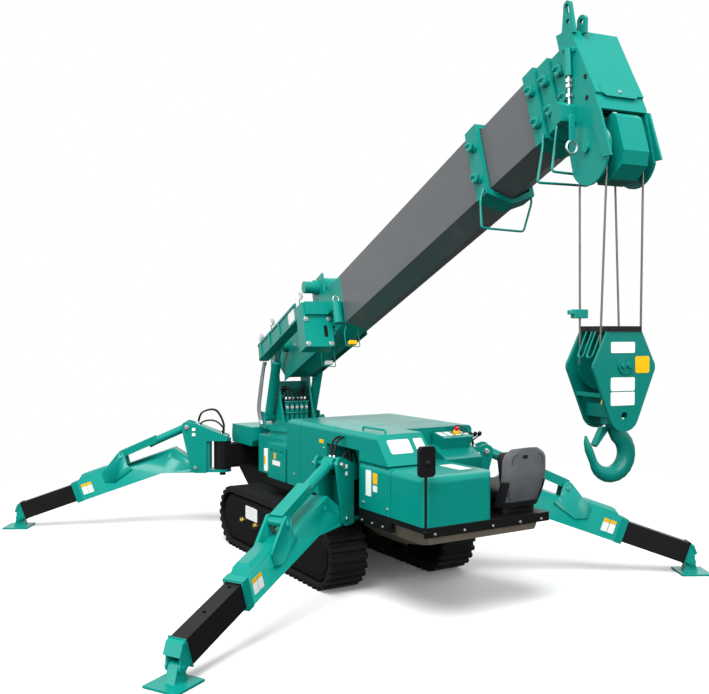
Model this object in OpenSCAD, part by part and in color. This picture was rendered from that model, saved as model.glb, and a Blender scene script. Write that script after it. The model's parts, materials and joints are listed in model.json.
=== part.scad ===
// Compact crawler crane with four folding outriggers and a five-section telescopic boom.
// Millimetres, +X to the travelling front, +Y to the left, +Z up, floor at Z = 0.

/* [Tracks] */
// Overall length of one rubber track
track_length = 2200; // [1900:10:2500]
// Overall height of one track, lug tips included
track_height = 555; // [480:5:600]
// Width of one track
track_width = 320; // [250:5:360]
// Distance between the outer faces of the two tracks
track_spread = 1370; // [1300:10:1500]
// Middle of the tracks behind the outrigger centre
track_setback = 325; // [250:5:400]
// Height of one rubber lug
lug_height = 26; // [15:1:35]
// Number of lugs around one track
lug_count = 64; // [40:2:80]
// Thickness of the rubber belt under the lugs
belt_thickness = 30; // [20:1:45]

/* [Outriggers] */
// Distance of the swing axes ahead of and behind the outrigger centre
leg_station = 1295; // [1200:5:1400]
// Distance of the swing axes from the centre line
leg_offset = 436; // [400:2:470]
// Angle of each leg to the centre line as it is set
leg_angle = 60; // [50:1:70]
// Distance of the leg hinge from the swing axis
hinge_reach = 262; // [250:1:290]
// Height of the leg hinge
hinge_height = 616; // [606:1:640]
// Distance of the cylinder's upper pin from the swing axis
jack_reach = 350; // [335:1:365]
// Height of the cylinder's upper pin
jack_height = 1030; // [1000:1:1060]
// Distance of the cylinder's lower pin from the swing axis
ear_reach = 1029; // [1000:1:1060]
// Height of the cylinder's lower pin
ear_height = 730; // [720:1:745]
// Slope of the leg below the horizontal
leg_slope = 19.2; // [17:0.1:21]
// Distance of the outer box's open end from the swing axis, on its middle line
box_end_reach = 1498; // [1450:1:1540]
// Height of the outer box's open end, on its middle line
box_end_height = 356; // [340:1:370]
// Depth of the outer leg box
box_depth = 205; // [195:1:215]
// Width of the outer leg box
box_width = 150; // [140:1:160]
// Wall of the leg boxes
box_wall = 10; // [8:1:12]
// Gap between the inner and the outer leg box on each side
slide_gap = 6; // [5:0.5:8]
// Length of the inner box that shows as it is set
inner_showing = 560; // [480:5:600]
// Length of the inner box that stays inside as it is set
inner_inside = 380; // [340:5:400]
// Bore of the jack cylinder's barrel outside diameter
jack_barrel = 82; // [70:1:86]
// Rod diameter of the jack cylinder
jack_rod = 45; // [35:1:55]
// Side of the square foot plate
foot_size = 250; // [200:5:300]
// Thickness of the foot plate
foot_plate = 16; // [10:1:20]
// Height of the foot's pin above the floor
foot_pin_height = 100; // [95:1:115]

/* [Tower] */
// Slewing axis ahead of the outrigger centre
tower_x = 448; // [400:2:500]
// Direction of the boom as it is set, from straight ahead to the left
slew_rest = 171.6; // [160:0.2:180]
// Height of the top of the slewing ring
ring_top = 1085; // [1060:1:1100]
// Radius of the slewing ring
ring_radius = 270; // [240:5:300]
// Thickness of one cheek plate of the tower
cheek_plate = 20; // [15:1:25]
// Radius of the boom foot pin
foot_pin_radius = 35; // [25:1:40]
// Radius of one lifting cylinder's barrel
lift_barrel = 46; // [38:1:48]
// Radius of one lifting cylinder's rod
lift_rod = 28; // [20:1:32]

/* [Boom] */
// Luffing angle as it is set
luff_rest = 18.7; // [10:0.1:30]
// Height of the boom's middle line at the slewing axis
boom_height = 1763; // [1720:1:1800]
// Width of the base section
boom_width = 280; // [260:2:290]
// Height of the base section's flat sides
boom_side = 400; // [360:2:410]
// Depth of the base section's ridge under its sides
boom_ridge = 60; // [40:2:70]
// Wall of the boom sections
boom_wall = 8; // [6:0.5:9]
// Gap between one section and the next
boom_gap = 7; // [5:0.5:8]
// Distance of the base section's open end from the slewing axis
base_end = 3880; // [3800:10:3950]
// Length of the second section that shows as it is set
second_showing = 460; // [440:10:480]
// Length of one collar along the boom
collar_length = 120; // [100:2:130]
// Height of a collar above its section
collar_rise = 20; // [12:1:24]
// Length of the sections that stays inside when all are drawn in
section_length = 3750; // [3600:10:3780]
// Head sheave axis ahead of the fourth section's open end
head_ahead = 51; // [40:1:70]
// Head sheave axis below the boom's middle line
head_drop = 420; // [400:2:440]
// Radius of a head sheave
sheave_radius = 112; // [100:1:118]

/* [Hook] */
// Rope diameter
rope = 11; // [8:0.5:14]
// Hook block's sheave axis below the head sheave axis
block_drop = 1030; // [900:10:1200]
// Width of the hook block
block_width = 362; // [340:2:380]
// Thickness of the hook block between its outer faces
block_thickness = 216; // [212:1:240]
// Inside radius of the hook's bowl
hook_bowl = 64; // [58:1:68]

/* [Body] */
// Half width of the body covers
body_half = 530; // [510:2:540]
// Height of the body floor
floor_height = 700; // [680:2:715]
// Height of the top of the main cover
cover_top = 1258; // [1230:2:1290]
// Front end of the main cover, ahead of the outrigger centre
cover_front = -370; // [-400:2:-340]
// Rear end of the machine, ahead of the outrigger centre
body_rear = -2390; // [-2450:5:-2360]
// Height of the top of the engine hood
hood_top = 1050; // [1030:2:1070]
// Width of the engine hood
hood_width = 590; // [570:5:610]
// Sheet thickness of the covers
sheet = 6; // [4:0.5:8]

/* [Hidden] */
$fn = 48;
fit = 0.1;
seat_gap = 0.3;
steel_gap = 7;

LEGS = ["front_left", "front_right", "rear_left", "rear_right"];
leg_front = [1, 1, -1, -1];
leg_side = [1, -1, 1, -1];
function leg_azimuth(i) = leg_side[i] * (leg_front[i] > 0 ? leg_angle : 180 - leg_angle);

green = [0.03, 0.47, 0.43];
black = [0.07, 0.07, 0.075];
grey = [0.33, 0.34, 0.35];
steel = [0.62, 0.63, 0.64];
tan_grey = [0.45, 0.42, 0.36];

function unit(a) = [cos(a), sin(a)];
function arc(c, r, from, to, steps = 8) = [for (k = [0 : steps]) c + r * unit(from + (to - from) * k / steps)];

// A plate whose outline lies in the X-Z plane, from y = low to y = high
module side_plate(points, low, high) {
    translate([0, high, 0]) rotate([90, 0, 0]) linear_extrude(high - low) polygon(points);
}

// A round bar along Y
module bar_y(x, z, r, low, high) {
    translate([x, high, z]) rotate([90, 0, 0]) cylinder(r = r, h = high - low);
}

module block(low, high) {
    translate(low) cube(high - low);
}

// A prism whose outline lies in the Y-Z plane, from x = low to x = high
module cross_prism(points, low, high) {
    translate([low, 0, 0]) rotate([90, 0, 90]) linear_extrude(high - low) polygon(points);
}

// Corners of a box with its upper corners rounded by ra (low side) and rb (high side)
function round_top(low, high, base, top, ra, rb) = concat(
    [[high, base]], arc([high - rb, top - rb], rb, 0, 90, 6), arc([low + ra, top - ra], ra, 90, 180, 6), [[low, base]]);

module framed() {
    translate([frame_shift, 0, 0]) children();
}

// Tracks

track_y = track_spread / 2 - track_width / 2;
loop_radius = track_height / 2;
loop_half = track_length / 2 - loop_radius;
loop_middle = [-track_setback, loop_radius];

// Point of the track loop at share t of its length, with radius r at its ends
function loop_point(t, r) =
    let (round_part = 3.14159265 * loop_radius, whole = 4 * loop_half + 2 * round_part, d = t * whole)
    loop_middle + (
        d < 2 * loop_half ? [-loop_half + d, -r]
        : d < 2 * loop_half + round_part ? [loop_half, 0] + r * unit(-90 + (d - 2 * loop_half) / round_part * 180)
        : d < 4 * loop_half + round_part ? [loop_half - (d - 2 * loop_half - round_part), r]
        : [-loop_half, 0] + r * unit(90 + (d - 4 * loop_half - round_part) / round_part * 180));

// The loop as an outline with radius r at its ends
function loop_outline(r) = concat(
    arc(loop_middle + [loop_half, 0], r, -90, 90, loop_steps),
    arc(loop_middle - [loop_half, 0], r, 90, 270, loop_steps));

belt_inside = loop_radius - lug_height - belt_thickness;
loop_steps = 24;
module track() {
    lug = [[0.08, -lug_height], [0.2, 0], [0.62, 0], [0.74, -lug_height]];
    outer = [for (k = [0 : lug_count - 1]) for (q = lug) loop_point((k + q[0]) / lug_count, loop_radius + q[1])];
    inner = loop_outline(belt_inside);
    color(black) rotate([90, 0, 0]) linear_extrude(track_width, center = true) difference() {
        polygon(outer);
        polygon(inner);
    }
}

module track_left() { translate([0, track_y, 0]) track(); }
module track_right() { translate([0, -track_y, 0]) track(); }

plate_radius = belt_inside - 24;
cover_plate = 22;
plate_outer = track_width / 2 - 22;
plate_inner = -track_width / 2 - 20;
panel_margin = 30;
panel_rise = 6;
module track_frame() {
    color(black) {
        side_plate(loop_outline(plate_radius), plate_outer - cover_plate, plate_outer);
        side_plate(loop_outline(plate_radius - panel_margin), plate_outer - 1, plate_outer + panel_rise);
        block([loop_middle[0] - loop_half * 0.7, plate_inner, loop_radius - 50],
              [loop_middle[0] + loop_half * 0.7, plate_outer - cover_plate + 1, loop_radius + 150]);
    }
}

module track_frames() {
    translate([0, track_y, 0]) track_frame();
    mirror([0, 1, 0]) translate([0, track_y, 0]) track_frame();
}

wheel_radius = belt_inside * cos(90 / loop_steps) - seat_gap;
roller_radius = 56;
module track_wheels() {
    color(black) for (side = [-1, 1]) translate([0, side * track_y, 0]) {
        for (end = [-1, 1]) {
            bar_y(loop_middle[0] + end * loop_half, loop_radius, wheel_radius, -60, 60);
            bar_y(loop_middle[0] + end * loop_half, loop_radius, 45,
                  side > 0 ? -80 : -plate_outer + cover_plate, side > 0 ? plate_outer - cover_plate : 80);
        }
        for (k = [-1.5 : 1 : 1.5]) {
            x = loop_middle[0] + k * loop_half * 0.4;
            z = loop_radius - wheel_radius + roller_radius;
            bar_y(x, z, roller_radius, -70, 70);
            bar_y(x, z, 22, side > 0 ? -80 : -plate_outer + cover_plate, side > 0 ? plate_outer - cover_plate : 80);
        }
    }
}

// Main frame with the four swing posts

post_radius = 88;
post_low = 600;
post_high = 880;
swing_pin = 30;
plate = 26;
frame_half = track_y + plate_inner - 45;

leg_recess = 250;
recess_front = -1060;
recess_top = 1125;
recess_low = floor_height + 162;
bay_front = -1560;
frame_top = 640;
beam_low = post_low + 20;
beam_high = post_high - 20;
beam_depth = 130;
keel_low = 290;
keel_front = 700;
module main_frame() {
    keel = [[-leg_station - 60, frame_top], [-leg_station - 60, 420], [-leg_station + 120, keel_low], [keel_front, keel_low],
            [leg_station - beam_depth + 20, beam_low], [leg_station - 40, beam_low], [leg_station - 40, frame_top]];
    color(black) {
        difference() {
            side_plate(keel, -frame_half, frame_half);
            block([-leg_station + 160, -frame_half + 40, 200], [keel_front - 60, frame_half - 40, 560]);
            side_plate([[keel_front + 90, 200], [leg_station, 200], [leg_station, beam_low - 60]], -frame_half + 90, frame_half - 90);
        }
        block([recess_front, -body_half, frame_top - 1], [20, body_half, floor_height]);
        block([bay_front, -leg_recess, frame_top - 1], [recess_front + 1, leg_recess, floor_height]);
        for (x = [-780, 200]) block([x - 120, -track_y - plate_inner, 300], [x + 120, track_y + plate_inner, 420]);
        for (end = [-1, 1]) block([end > 0 ? leg_station - beam_depth : -leg_station, -leg_offset, beam_low],
                                  [end > 0 ? leg_station : -leg_station + beam_depth, leg_offset, beam_high]);
        for (i = [0 : 3]) translate([leg_front[i] * leg_station, leg_side[i] * leg_offset, 0]) {
            translate([0, 0, post_low]) cylinder(r = post_radius, h = post_high - post_low);
            translate([0, 0, post_low - 70]) cylinder(r = swing_pin, h = post_high - post_low + 140);
        }
    }
}

// Outrigger legs, each in its own plane: X outwards from the swing axis

function leg_dir() = [cos(leg_slope), -sin(leg_slope)];
function leg_up() = [sin(leg_slope), cos(leg_slope)];
box_end = [box_end_reach, box_end_height];
// Point of the leg at a distance beyond the outer box's open end, and off its middle line
function on_leg(along, off) = box_end + along * leg_dir() + off * leg_up();

module at_leg(i) {
    translate([leg_front[i] * leg_station, leg_side[i] * leg_offset, 0]) rotate([0, 0, leg_azimuth(i)]) children();
}

// Turns a part drawn along X with its origin at the outer box's open end onto the leg's slope
module along_leg() {
    translate([box_end[0], 0, box_end[1]]) rotate([0, leg_slope, 0]) children();
}

hinge_pin = 26;
jack_pin = 20;
knuckle_inside = box_width / 2 + steel_gap;
knuckle_plate = 20;
hood_edge = jack_reach - 75;
knuckle_outside = knuckle_inside + knuckle_plate;
leg_hinge = [hinge_reach, hinge_height];
jack_top = [jack_reach, jack_height];
ear = [ear_reach, ear_height];

module knuckle() {
    cheek = concat(
        [[150, hinge_height - 54]],
        arc(leg_hinge, 54, -90, 10),
        arc(jack_top, 56, -10, 110),
        [[-60, post_high + steel_gap + plate + 24], [-60, post_high + steel_gap], [150, post_high + steel_gap]]);
    web = 140;
    color(green) difference() {
        union() {
            for (side = [-1, 1]) side_plate(cheek, side > 0 ? knuckle_inside : -knuckle_outside,
                                            side > 0 ? knuckle_outside : -knuckle_inside);
            for (z = [post_high + steel_gap, post_low - steel_gap - plate]) {
                translate([0, 0, z]) cylinder(r = post_radius, h = plate);
                block([0, -knuckle_inside - 1, z], [web + 20, knuckle_inside + 1, z + plate]);
            }
            block([web - 20, -knuckle_inside - 1, post_low - steel_gap - plate],
                  [web + 10, knuckle_inside + 1, post_high + steel_gap + plate]);
            bar_y(leg_hinge[0], leg_hinge[1], hinge_pin, -knuckle_outside - 6, knuckle_outside + 6);
            bar_y(jack_top[0], jack_top[1], jack_pin, -knuckle_outside - 6, knuckle_outside + 6);
            side_plate([[-60, post_high + steel_gap + plate - 1], [-60, post_high + steel_gap + plate + 20], [hood_edge, jack_height + 40],
                        [hood_edge + 16, jack_height + 26]], -knuckle_inside - 1, knuckle_inside + 1);
        }
        translate([0, 0, post_low - 100]) cylinder(r = swing_pin + fit, h = post_high - post_low + 200);
    }
}

root_radius = 52;
knee = on_leg(-905, -box_depth / 2);
ear_plate = 13;
ear_proud = 7;
hump_rise = 52;
module leg() {
    outline = concat(
        [on_leg(0, box_depth / 2), on_leg(-1105, box_depth / 2)],
        arc(leg_hinge, root_radius, 150, 270),
        [knee, on_leg(0, -box_depth / 2)]);
    inside = box_depth / 2 - box_wall;
    ear_outline = concat(
        arc(ear, 44, 160, 20),
        [on_leg(-330, box_depth / 2 - 5), on_leg(-330, 10), on_leg(-430, -30), on_leg(-640, 40), on_leg(-600, box_depth / 2)]);
    color(green) difference() {
        union() {
            side_plate(outline, -box_width / 2, box_width / 2);
            for (side = [-1, 1]) side_plate(ear_outline, side > 0 ? box_width / 2 - ear_plate : -box_width / 2 - ear_proud,
                                            side > 0 ? box_width / 2 + ear_proud : -box_width / 2 + ear_plate);
            along_leg() intersection() {
                side_plate([[-420, box_depth / 2 - 2], [-370, box_depth / 2 + hump_rise], [-130, box_depth / 2 + hump_rise],
                            [-70, box_depth / 2 - 2]], -box_width / 2, box_width / 2);
                cross_prism([[-box_width / 2 + 10, box_depth / 2 - 2], [-box_width / 2 + 10, box_depth / 2 + hump_rise - 24],
                             [-box_width / 2 + 34, box_depth / 2 + hump_rise], [box_width / 2 - 34, box_depth / 2 + hump_rise],
                             [box_width / 2 - 10, box_depth / 2 + hump_rise - 24], [box_width / 2 - 10, box_depth / 2 - 2]], -500, 0);
            }
            for (side = [-1, 1]) bar_y(ear[0], ear[1], 24, side > 0 ? box_width / 2 : -box_width / 2 - ear_proud - 6,
                                       side > 0 ? box_width / 2 + ear_proud + 6 : -box_width / 2);
            bar_y(on_leg(-1040, 40)[0], on_leg(-1040, 40)[1], 18, -box_width / 2 - 4, box_width / 2 + 4);
            along_leg() block([-60, -box_width / 2 - 4, -box_depth / 2 - 4], [0, box_width / 2 + 4, box_depth / 2 + 4]);
        }
        along_leg() block([-880, -box_width / 2 + box_wall, -inside], [1, box_width / 2 - box_wall, inside]);
        bar_y(leg_hinge[0], leg_hinge[1], hinge_pin + fit, -box_width, box_width);
    }
}

inner_width = box_width - 2 * (box_wall + slide_gap);
inner_depth = box_depth - 2 * (box_wall + slide_gap);
foot_pin = [on_leg(inner_showing + 62, -60)[0], foot_pin_height];
foot_radius = 17;
lock_hole = 12;
pad_rise = slide_gap - seat_gap;
fork_plate = 16;
fork_outside = inner_width / 2 - 1.5;
module inner() {
    color(black) union() {
        along_leg() difference() {
            block([-inner_inside, -inner_width / 2, -inner_depth / 2], [inner_showing, inner_width / 2, inner_depth / 2]);
            block([-inner_inside - 1, -inner_width / 2 + box_wall, -inner_depth / 2 + box_wall],
                  [inner_showing - 12, inner_width / 2 - box_wall, inner_depth / 2 - box_wall]);
            for (x = [40, 300]) translate([x, 0, 0]) cylinder(r = lock_hole, h = inner_depth);
        }
        along_leg() block([inner_showing - 8, -inner_width / 2 - 8, -inner_depth / 2 - 6],
                          [inner_showing + 2, inner_width / 2 + 8, inner_depth / 2 + 8]);
        along_leg() for (side = [-1, 1]) block([-inner_inside, -30, side > 0 ? inner_depth / 2 - 1 : -inner_depth / 2 - pad_rise],
                                               [-inner_inside + 90, 30, side > 0 ? inner_depth / 2 + pad_rise : -inner_depth / 2 + 1]);
    }
    fork = concat(
        [on_leg(inner_showing - 2, inner_depth / 2 - 8), on_leg(inner_showing + 46, inner_depth / 2 - 30)],
        arc(foot_pin, 34, 40, -100),
        [on_leg(inner_showing - 2, -inner_depth / 2 + 20)]);
    hood = [on_leg(inner_showing - 2, inner_depth / 2 + 2), on_leg(inner_showing + 30, inner_depth / 2 - 4),
            on_leg(inner_showing + 78, inner_depth / 2 - 62), on_leg(inner_showing + 66, inner_depth / 2 - 74),
            on_leg(inner_showing + 22, inner_depth / 2 - 24), on_leg(inner_showing - 2, inner_depth / 2 - 18)];
    color(green) {
        for (side = [-1, 1]) side_plate(fork, side > 0 ? fork_outside - fork_plate : -fork_outside,
                                        side > 0 ? fork_outside : -fork_outside + fork_plate);
        side_plate(hood, -inner_width / 2 - 4, inner_width / 2 + 4);
        bar_y(foot_pin[0], foot_pin[1], foot_radius, -inner_width / 2 - 8, inner_width / 2 + 8);
    }
}

module foot() {
    lug = fork_outside - fork_plate - 5;
    color(green) difference() {
        union() {
            block([foot_pin[0] - foot_size / 2 + 20, -foot_size / 2, 0], [foot_pin[0] + foot_size / 2 + 20, foot_size / 2, foot_plate]);
            side_plate(concat([[foot_pin[0] - 60, foot_plate - 1]], [[foot_pin[0] + 60, foot_plate - 1]],
                              arc(foot_pin, 30, 20, 160)), -lug, lug);
        }
        bar_y(foot_pin[0], foot_pin[1], foot_radius + fit, -200, 200);
    }
}

// Jack cylinder, drawn along X from its upper pin
jack_vector = ear - jack_top;
jack_length = norm(jack_vector);
jack_slope = -atan2(jack_vector[1], jack_vector[0]);
jack_barrel_length = 440;
jack_eye = 40;
jack_half = knuckle_inside - steel_gap;

module at_jack() {
    translate([jack_top[0], 0, jack_top[1]]) rotate([0, jack_slope, 0]) children();
}

module jack_barrel() {
    color(green) at_jack() difference() {
        union() {
            rotate([0, 90, 0]) translate([0, 0, 20]) cylinder(d = jack_barrel, h = jack_barrel_length - 20);
            rotate([0, 90, 0]) translate([0, 0, jack_barrel_length - 40]) cylinder(d = jack_barrel + 5, h = 40);
            bar_y(0, 0, jack_eye, -jack_barrel / 2 - 6, jack_barrel / 2 + 6);
        }
        rotate([0, 90, 0]) translate([0, 0, 62]) cylinder(d = jack_rod + 2 * seat_gap, h = jack_barrel_length);
        bar_y(0, 0, jack_pin + fit, -200, 200);
    }
}

guard_wall = 5;
guard_inside = jack_barrel / 2 + 6;
guard_start = 350;
module jack_rod() {
    color(steel) at_jack() union() {
        rotate([0, 90, 0]) translate([0, 0, jack_length - 420]) cylinder(d = jack_rod, h = 420);
        bar_y(jack_length, 0, 34, -box_width / 2 + ear_plate + seat_gap, box_width / 2 - ear_plate - seat_gap);
    }
    color(green) at_jack() difference() {
        block([guard_start, -guard_inside - guard_wall, -20], [jack_length, guard_inside + guard_wall, guard_inside + guard_wall]);
        block([guard_start - 1, -guard_inside, -30], [jack_length - 30, guard_inside, guard_inside]);
        block([jack_length - 31, -200, -30], [jack_length + 1, 200, 0]);
    }
}

// Pedestal, tower and lifting cylinders

pedestal_top = 1000;
corner = 110;
module pedestal() {
    w = frame_half;
    l = 370;
    color(green) translate([tower_x, 0, 0]) {
        translate([0, 0, frame_top]) linear_extrude(pedestal_top - frame_top)
            polygon([[-l, -w + corner], [-l + corner, -w], [l - corner, -w], [l, -w + corner],
                     [l, w - corner], [l - corner, w], [-l + corner, w], [-l, w - corner]]);
        translate([0, 0, pedestal_top - 1]) cylinder(r = ring_radius, h = ring_top - 24 - seat_gap - pedestal_top + 1);
        translate([0, 0, pedestal_top - 40]) cylinder(r = ring_radius + 24, h = 56);
    }
}

module front_box() {
    low = beam_high;
    top = ring_top - 34;
    color(green) side_plate([[845, low + 60], [880, low], [leg_station + 60, low], [leg_station + 75, low + 70],
                             [leg_station + 60, top - 6], [865, top]], -frame_half, frame_half);
}

module at_tower() {
    translate([tower_x, 0, 0]) rotate([0, 0, slew_rest]) children();
}

module at_boom() {
    at_tower() translate([0, 0, boom_height]) rotate([0, -luff_rest, 0]) children();
}

// Place in the tower's plane (distance, height) of a point in the boom's own plane (along, above)
function tower_point(p) = [p[0] * cos(luff_rest) - p[1] * sin(luff_rest),
                           boom_height + p[0] * sin(luff_rest) + p[1] * cos(luff_rest)];

boom_foot = [-250, 120];
foot_axis = tower_point(boom_foot);
lift_eye = [110, 70];
lift_top = tower_point(lift_eye);
lift_base = [-235, 1165];
cheek_inside = boom_width / 2 + steel_gap;
cheek_outside = cheek_inside + cheek_plate;
lift_y = cheek_outside + 8 + lift_barrel;

module tower() {
    cheek = concat(
        [[-330, ring_top], [-330, ring_top + 120]],
        arc(foot_axis, 85, 180, 20),
        [[-60, ring_top + 245], [40, ring_top + 60], [230, ring_top + 40], [230, ring_top]]);
    color(green) {
        at_tower() union() {
            translate([0, 0, ring_top - 24]) cylinder(r = ring_radius + 20, h = 40);
            for (side = [-1, 1]) side_plate(cheek, side > 0 ? cheek_inside : -cheek_outside,
                                            side > 0 ? cheek_outside : -cheek_inside);
            block([-330, -cheek_outside, ring_top], [-300, cheek_outside, foot_axis[1] - 290]);
            bar_y(foot_axis[0], foot_axis[1], foot_pin_radius, -cheek_outside - 14, cheek_outside + 14);
            for (side = [-1, 1]) {
                bar_y(lift_base[0], lift_base[1], 24, side > 0 ? cheek_outside - 1 : -lift_y - lift_barrel - 24,
                      side > 0 ? lift_y + lift_barrel + 24 : -cheek_outside + 1);
                block([lift_base[0] - 70, side * (lift_y + lift_barrel + 14) - 9, ring_top - 10],
                      [lift_base[0] + 70, side * (lift_y + lift_barrel + 14) + 9, lift_base[1] + 50]);
            }
            block([-330, -lift_y - lift_barrel - 24, ring_top - 24], [-100, lift_y + lift_barrel + 24, ring_top + 16]);
        }
    }
}

module valve_block() {
    color(black) at_tower() block([-280, -cheek_inside + 20, ring_top + 16], [-60, cheek_inside - 20, ring_top + (boom_height - ring_top) * 0.38]);
}

lift_vector = lift_top - lift_base;
lift_length = norm(lift_vector);
lift_angle = atan2(lift_vector[1], lift_vector[0]);
lift_barrel_length = lift_length - 168;
lift_rod_start = lift_length - lift_barrel_length + 80;

module at_lift() {
    at_tower() translate([lift_base[0], 0, lift_base[1]]) rotate([0, -lift_angle, 0]) children();
}

module lift_barrels() {
    color(green) at_lift() for (side = [-1, 1]) translate([0, side * lift_y, 0]) difference() {
        union() {
            rotate([0, 90, 0]) translate([0, 0, 20]) cylinder(r = lift_barrel, h = lift_barrel_length - 20);
            bar_y(0, 0, 44, -lift_barrel + 2, lift_barrel - 2);
        }
        rotate([0, 90, 0]) translate([0, 0, 70]) cylinder(r = lift_rod + seat_gap, h = lift_barrel_length);
        bar_y(0, 0, 24 + fit, -200, 200);
    }
}

module lift_rods() {
    color(steel) at_lift() for (side = [-1, 1]) translate([0, side * lift_y, 0]) {
        rotate([0, 90, 0]) translate([0, 0, lift_rod_start]) cylinder(r = lift_rod, h = lift_length - lift_rod_start);
        bar_y(lift_length, 0, 40, -30, 30);
    }
}

// Boom: five-sided box sections

// Half width, half side and ridge of section k, 0 for the base, grown outwards by g
function section_shrink(k) = k * (boom_wall + boom_gap);
function section_outline(k, g = 0) =
    let (w = boom_width / 2 - section_shrink(k) + g, s = boom_side / 2 - section_shrink(k) + g,
         v = boom_ridge + s)
    [[-w, s], [w, s], [w, -s], [0, -v], [-w, -s]];

// The outline of section k, carried from a to b along the boom
module section_bar(k, a, b, g = 0) {
    translate([a, 0, 0]) rotate([90, 0, 90]) linear_extrude(b - a) polygon(section_outline(k, g));
}

function section_end(k) = k == 0 ? base_end : base_end + second_showing + collar_length + 8 + (k - 1) * (collar_length - 12);

module collar(k) {
    end = section_end(k);
    length = k == 0 ? collar_length : collar_length - 20;
    difference() {
        section_bar(k, end - length, end, collar_rise);
        section_bar(k, end - length - 1, end + 1, -1);
    }
    w = boom_width / 2 - section_shrink(k) + collar_rise;
    s = boom_side / 2 - section_shrink(k);
    for (side = [-1, 1]) for (z = [-1, 1]) for (q = [[0.32, 70, 17], [0.62, 40, 24]])
        bar_y(end - length * (1 - q[0]), z * s * 0.5 + q[1] * 0.9 - 50, q[2], side > 0 ? w - 1 : -w - 9, side > 0 ? w + 9 : -w + 1);
}

module boom_section(k, from) {
    difference() {
        section_bar(k, from, section_end(k));
        section_bar(k, from - 1, section_end(k) + 1, -boom_wall);
    }
    top = boom_side / 2 - section_shrink(k);
    if (k > 0) for (side = [-1, 1]) block([from + 5, side * 45 - 20, top - 1], [from + 105, side * 45 + 20, top + boom_gap - seat_gap]);
}

foot_cheek = boom_width / 2 - 4;
module boom_base() {
    foot = concat(
        arc(boom_foot, 80, 90, 250),
        [[-30, -boom_side / 2], [320, -boom_side / 2], [320, boom_side / 2]]);
    color(grey) at_boom() {
        difference() {
            union() {
                boom_section(0, 300);
                collar(0);
                side_plate(foot, -foot_cheek, foot_cheek);
                for (side = [-1, 1]) side_plate([[-60, -boom_side / 2 - 26], [1350, -boom_side / 2 - 26], [1350, -boom_side / 2 + 30],
                                                 [-20, -boom_side / 2 + 30]], side > 0 ? boom_width / 2 - 4.5 : -boom_width / 2 - 5.5,
                                                side > 0 ? boom_width / 2 + 5.5 : -boom_width / 2 + 4.5);
            }
            side_plate([[-20, -110], [330, -180], [330, boom_side / 2 - 12], [-20, boom_side / 2 - 12]], -foot_cheek + 14, foot_cheek - 14);
            bar_y(boom_foot[0], boom_foot[1], foot_pin_radius + fit, -300, 300);
        }
        for (side = [-1, 1]) bar_y(lift_eye[0], lift_eye[1], 55, side > 0 ? foot_cheek - 1 : -lift_y + 40, side > 0 ? lift_y - 40 : -foot_cheek + 1);
    }
}

drum_radius = 85;
drum_x = 1080;
drum_z = boom_side / 2 + 92;
module winch() {
    w = boom_width / 2;
    color(green) at_boom() {
        for (side = [-1, 1]) side_plate([[drum_x - 150, boom_side / 2], [drum_x + 130, boom_side / 2], [drum_x + 130, drum_z + 84],
                                         [drum_x - 40, drum_z + 84], [drum_x - 150, drum_z - 20]],
                                        side > 0 ? w - 16 : -w, side > 0 ? w : -w + 16);
        bar_y(drum_x, drum_z, drum_radius, -w + 15, w - 15);
        bar_y(drum_x, drum_z, 52, -w - 130, -w + 1);
        bar_y(drum_x, drum_z, 64, -w - 40, -w + 1);
    }
}

// Housing on the side of the boom, over its hose reel
housing_x = [1200, 1360];
housing_z = [-330, 50];
housing_out = 270;
housing_wall = 12;
tray_from = 60;
module side_housing() {
    w = boom_width / 2;
    h = boom_side / 2;
    color(green) at_boom() translate([0, -w, 0]) {
        difference() {
            block([housing_x[0], -housing_out, housing_z[0]], [housing_x[1], -20, housing_z[1]]);
            block([housing_x[0] - 1, -housing_out + housing_wall, housing_z[0] + housing_wall],
                  [housing_x[1] - housing_wall, -19, housing_z[1] - housing_wall]);
        }
        // Upper part of the front, proud of the plate below it, and the wall on the boom
        block([housing_x[1] - 1, -housing_out + 20, -60], [housing_x[1] + 24, -0.01, housing_z[1]]);
        block([housing_x[0], -21, -h + 50], [housing_x[1], -0.01, housing_z[1]]);
        // Tray along the boom, behind the housing
        block([tray_from, -housing_out, -60], [housing_x[0] + 1, -housing_out + housing_wall, 100]);
        block([tray_from, -housing_out, -60], [housing_x[0] + 1, -housing_out + 90, -60 + housing_wall]);
        translate([housing_x[1] + 200, -46, -200]) cylinder(r = 38, h = 180);
        block([housing_x[1] + 20, -60, -60], [housing_x[1] + 200, -30, -30]);
    }
}

module boom_second() { color(grey) at_boom() { boom_section(1, 800); collar(1); } }
module boom_third() { color(grey) at_boom() { boom_section(2, 950); collar(2); } }
module boom_fourth() { color(grey) at_boom() { boom_section(3, 1100); collar(3); } }

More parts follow.
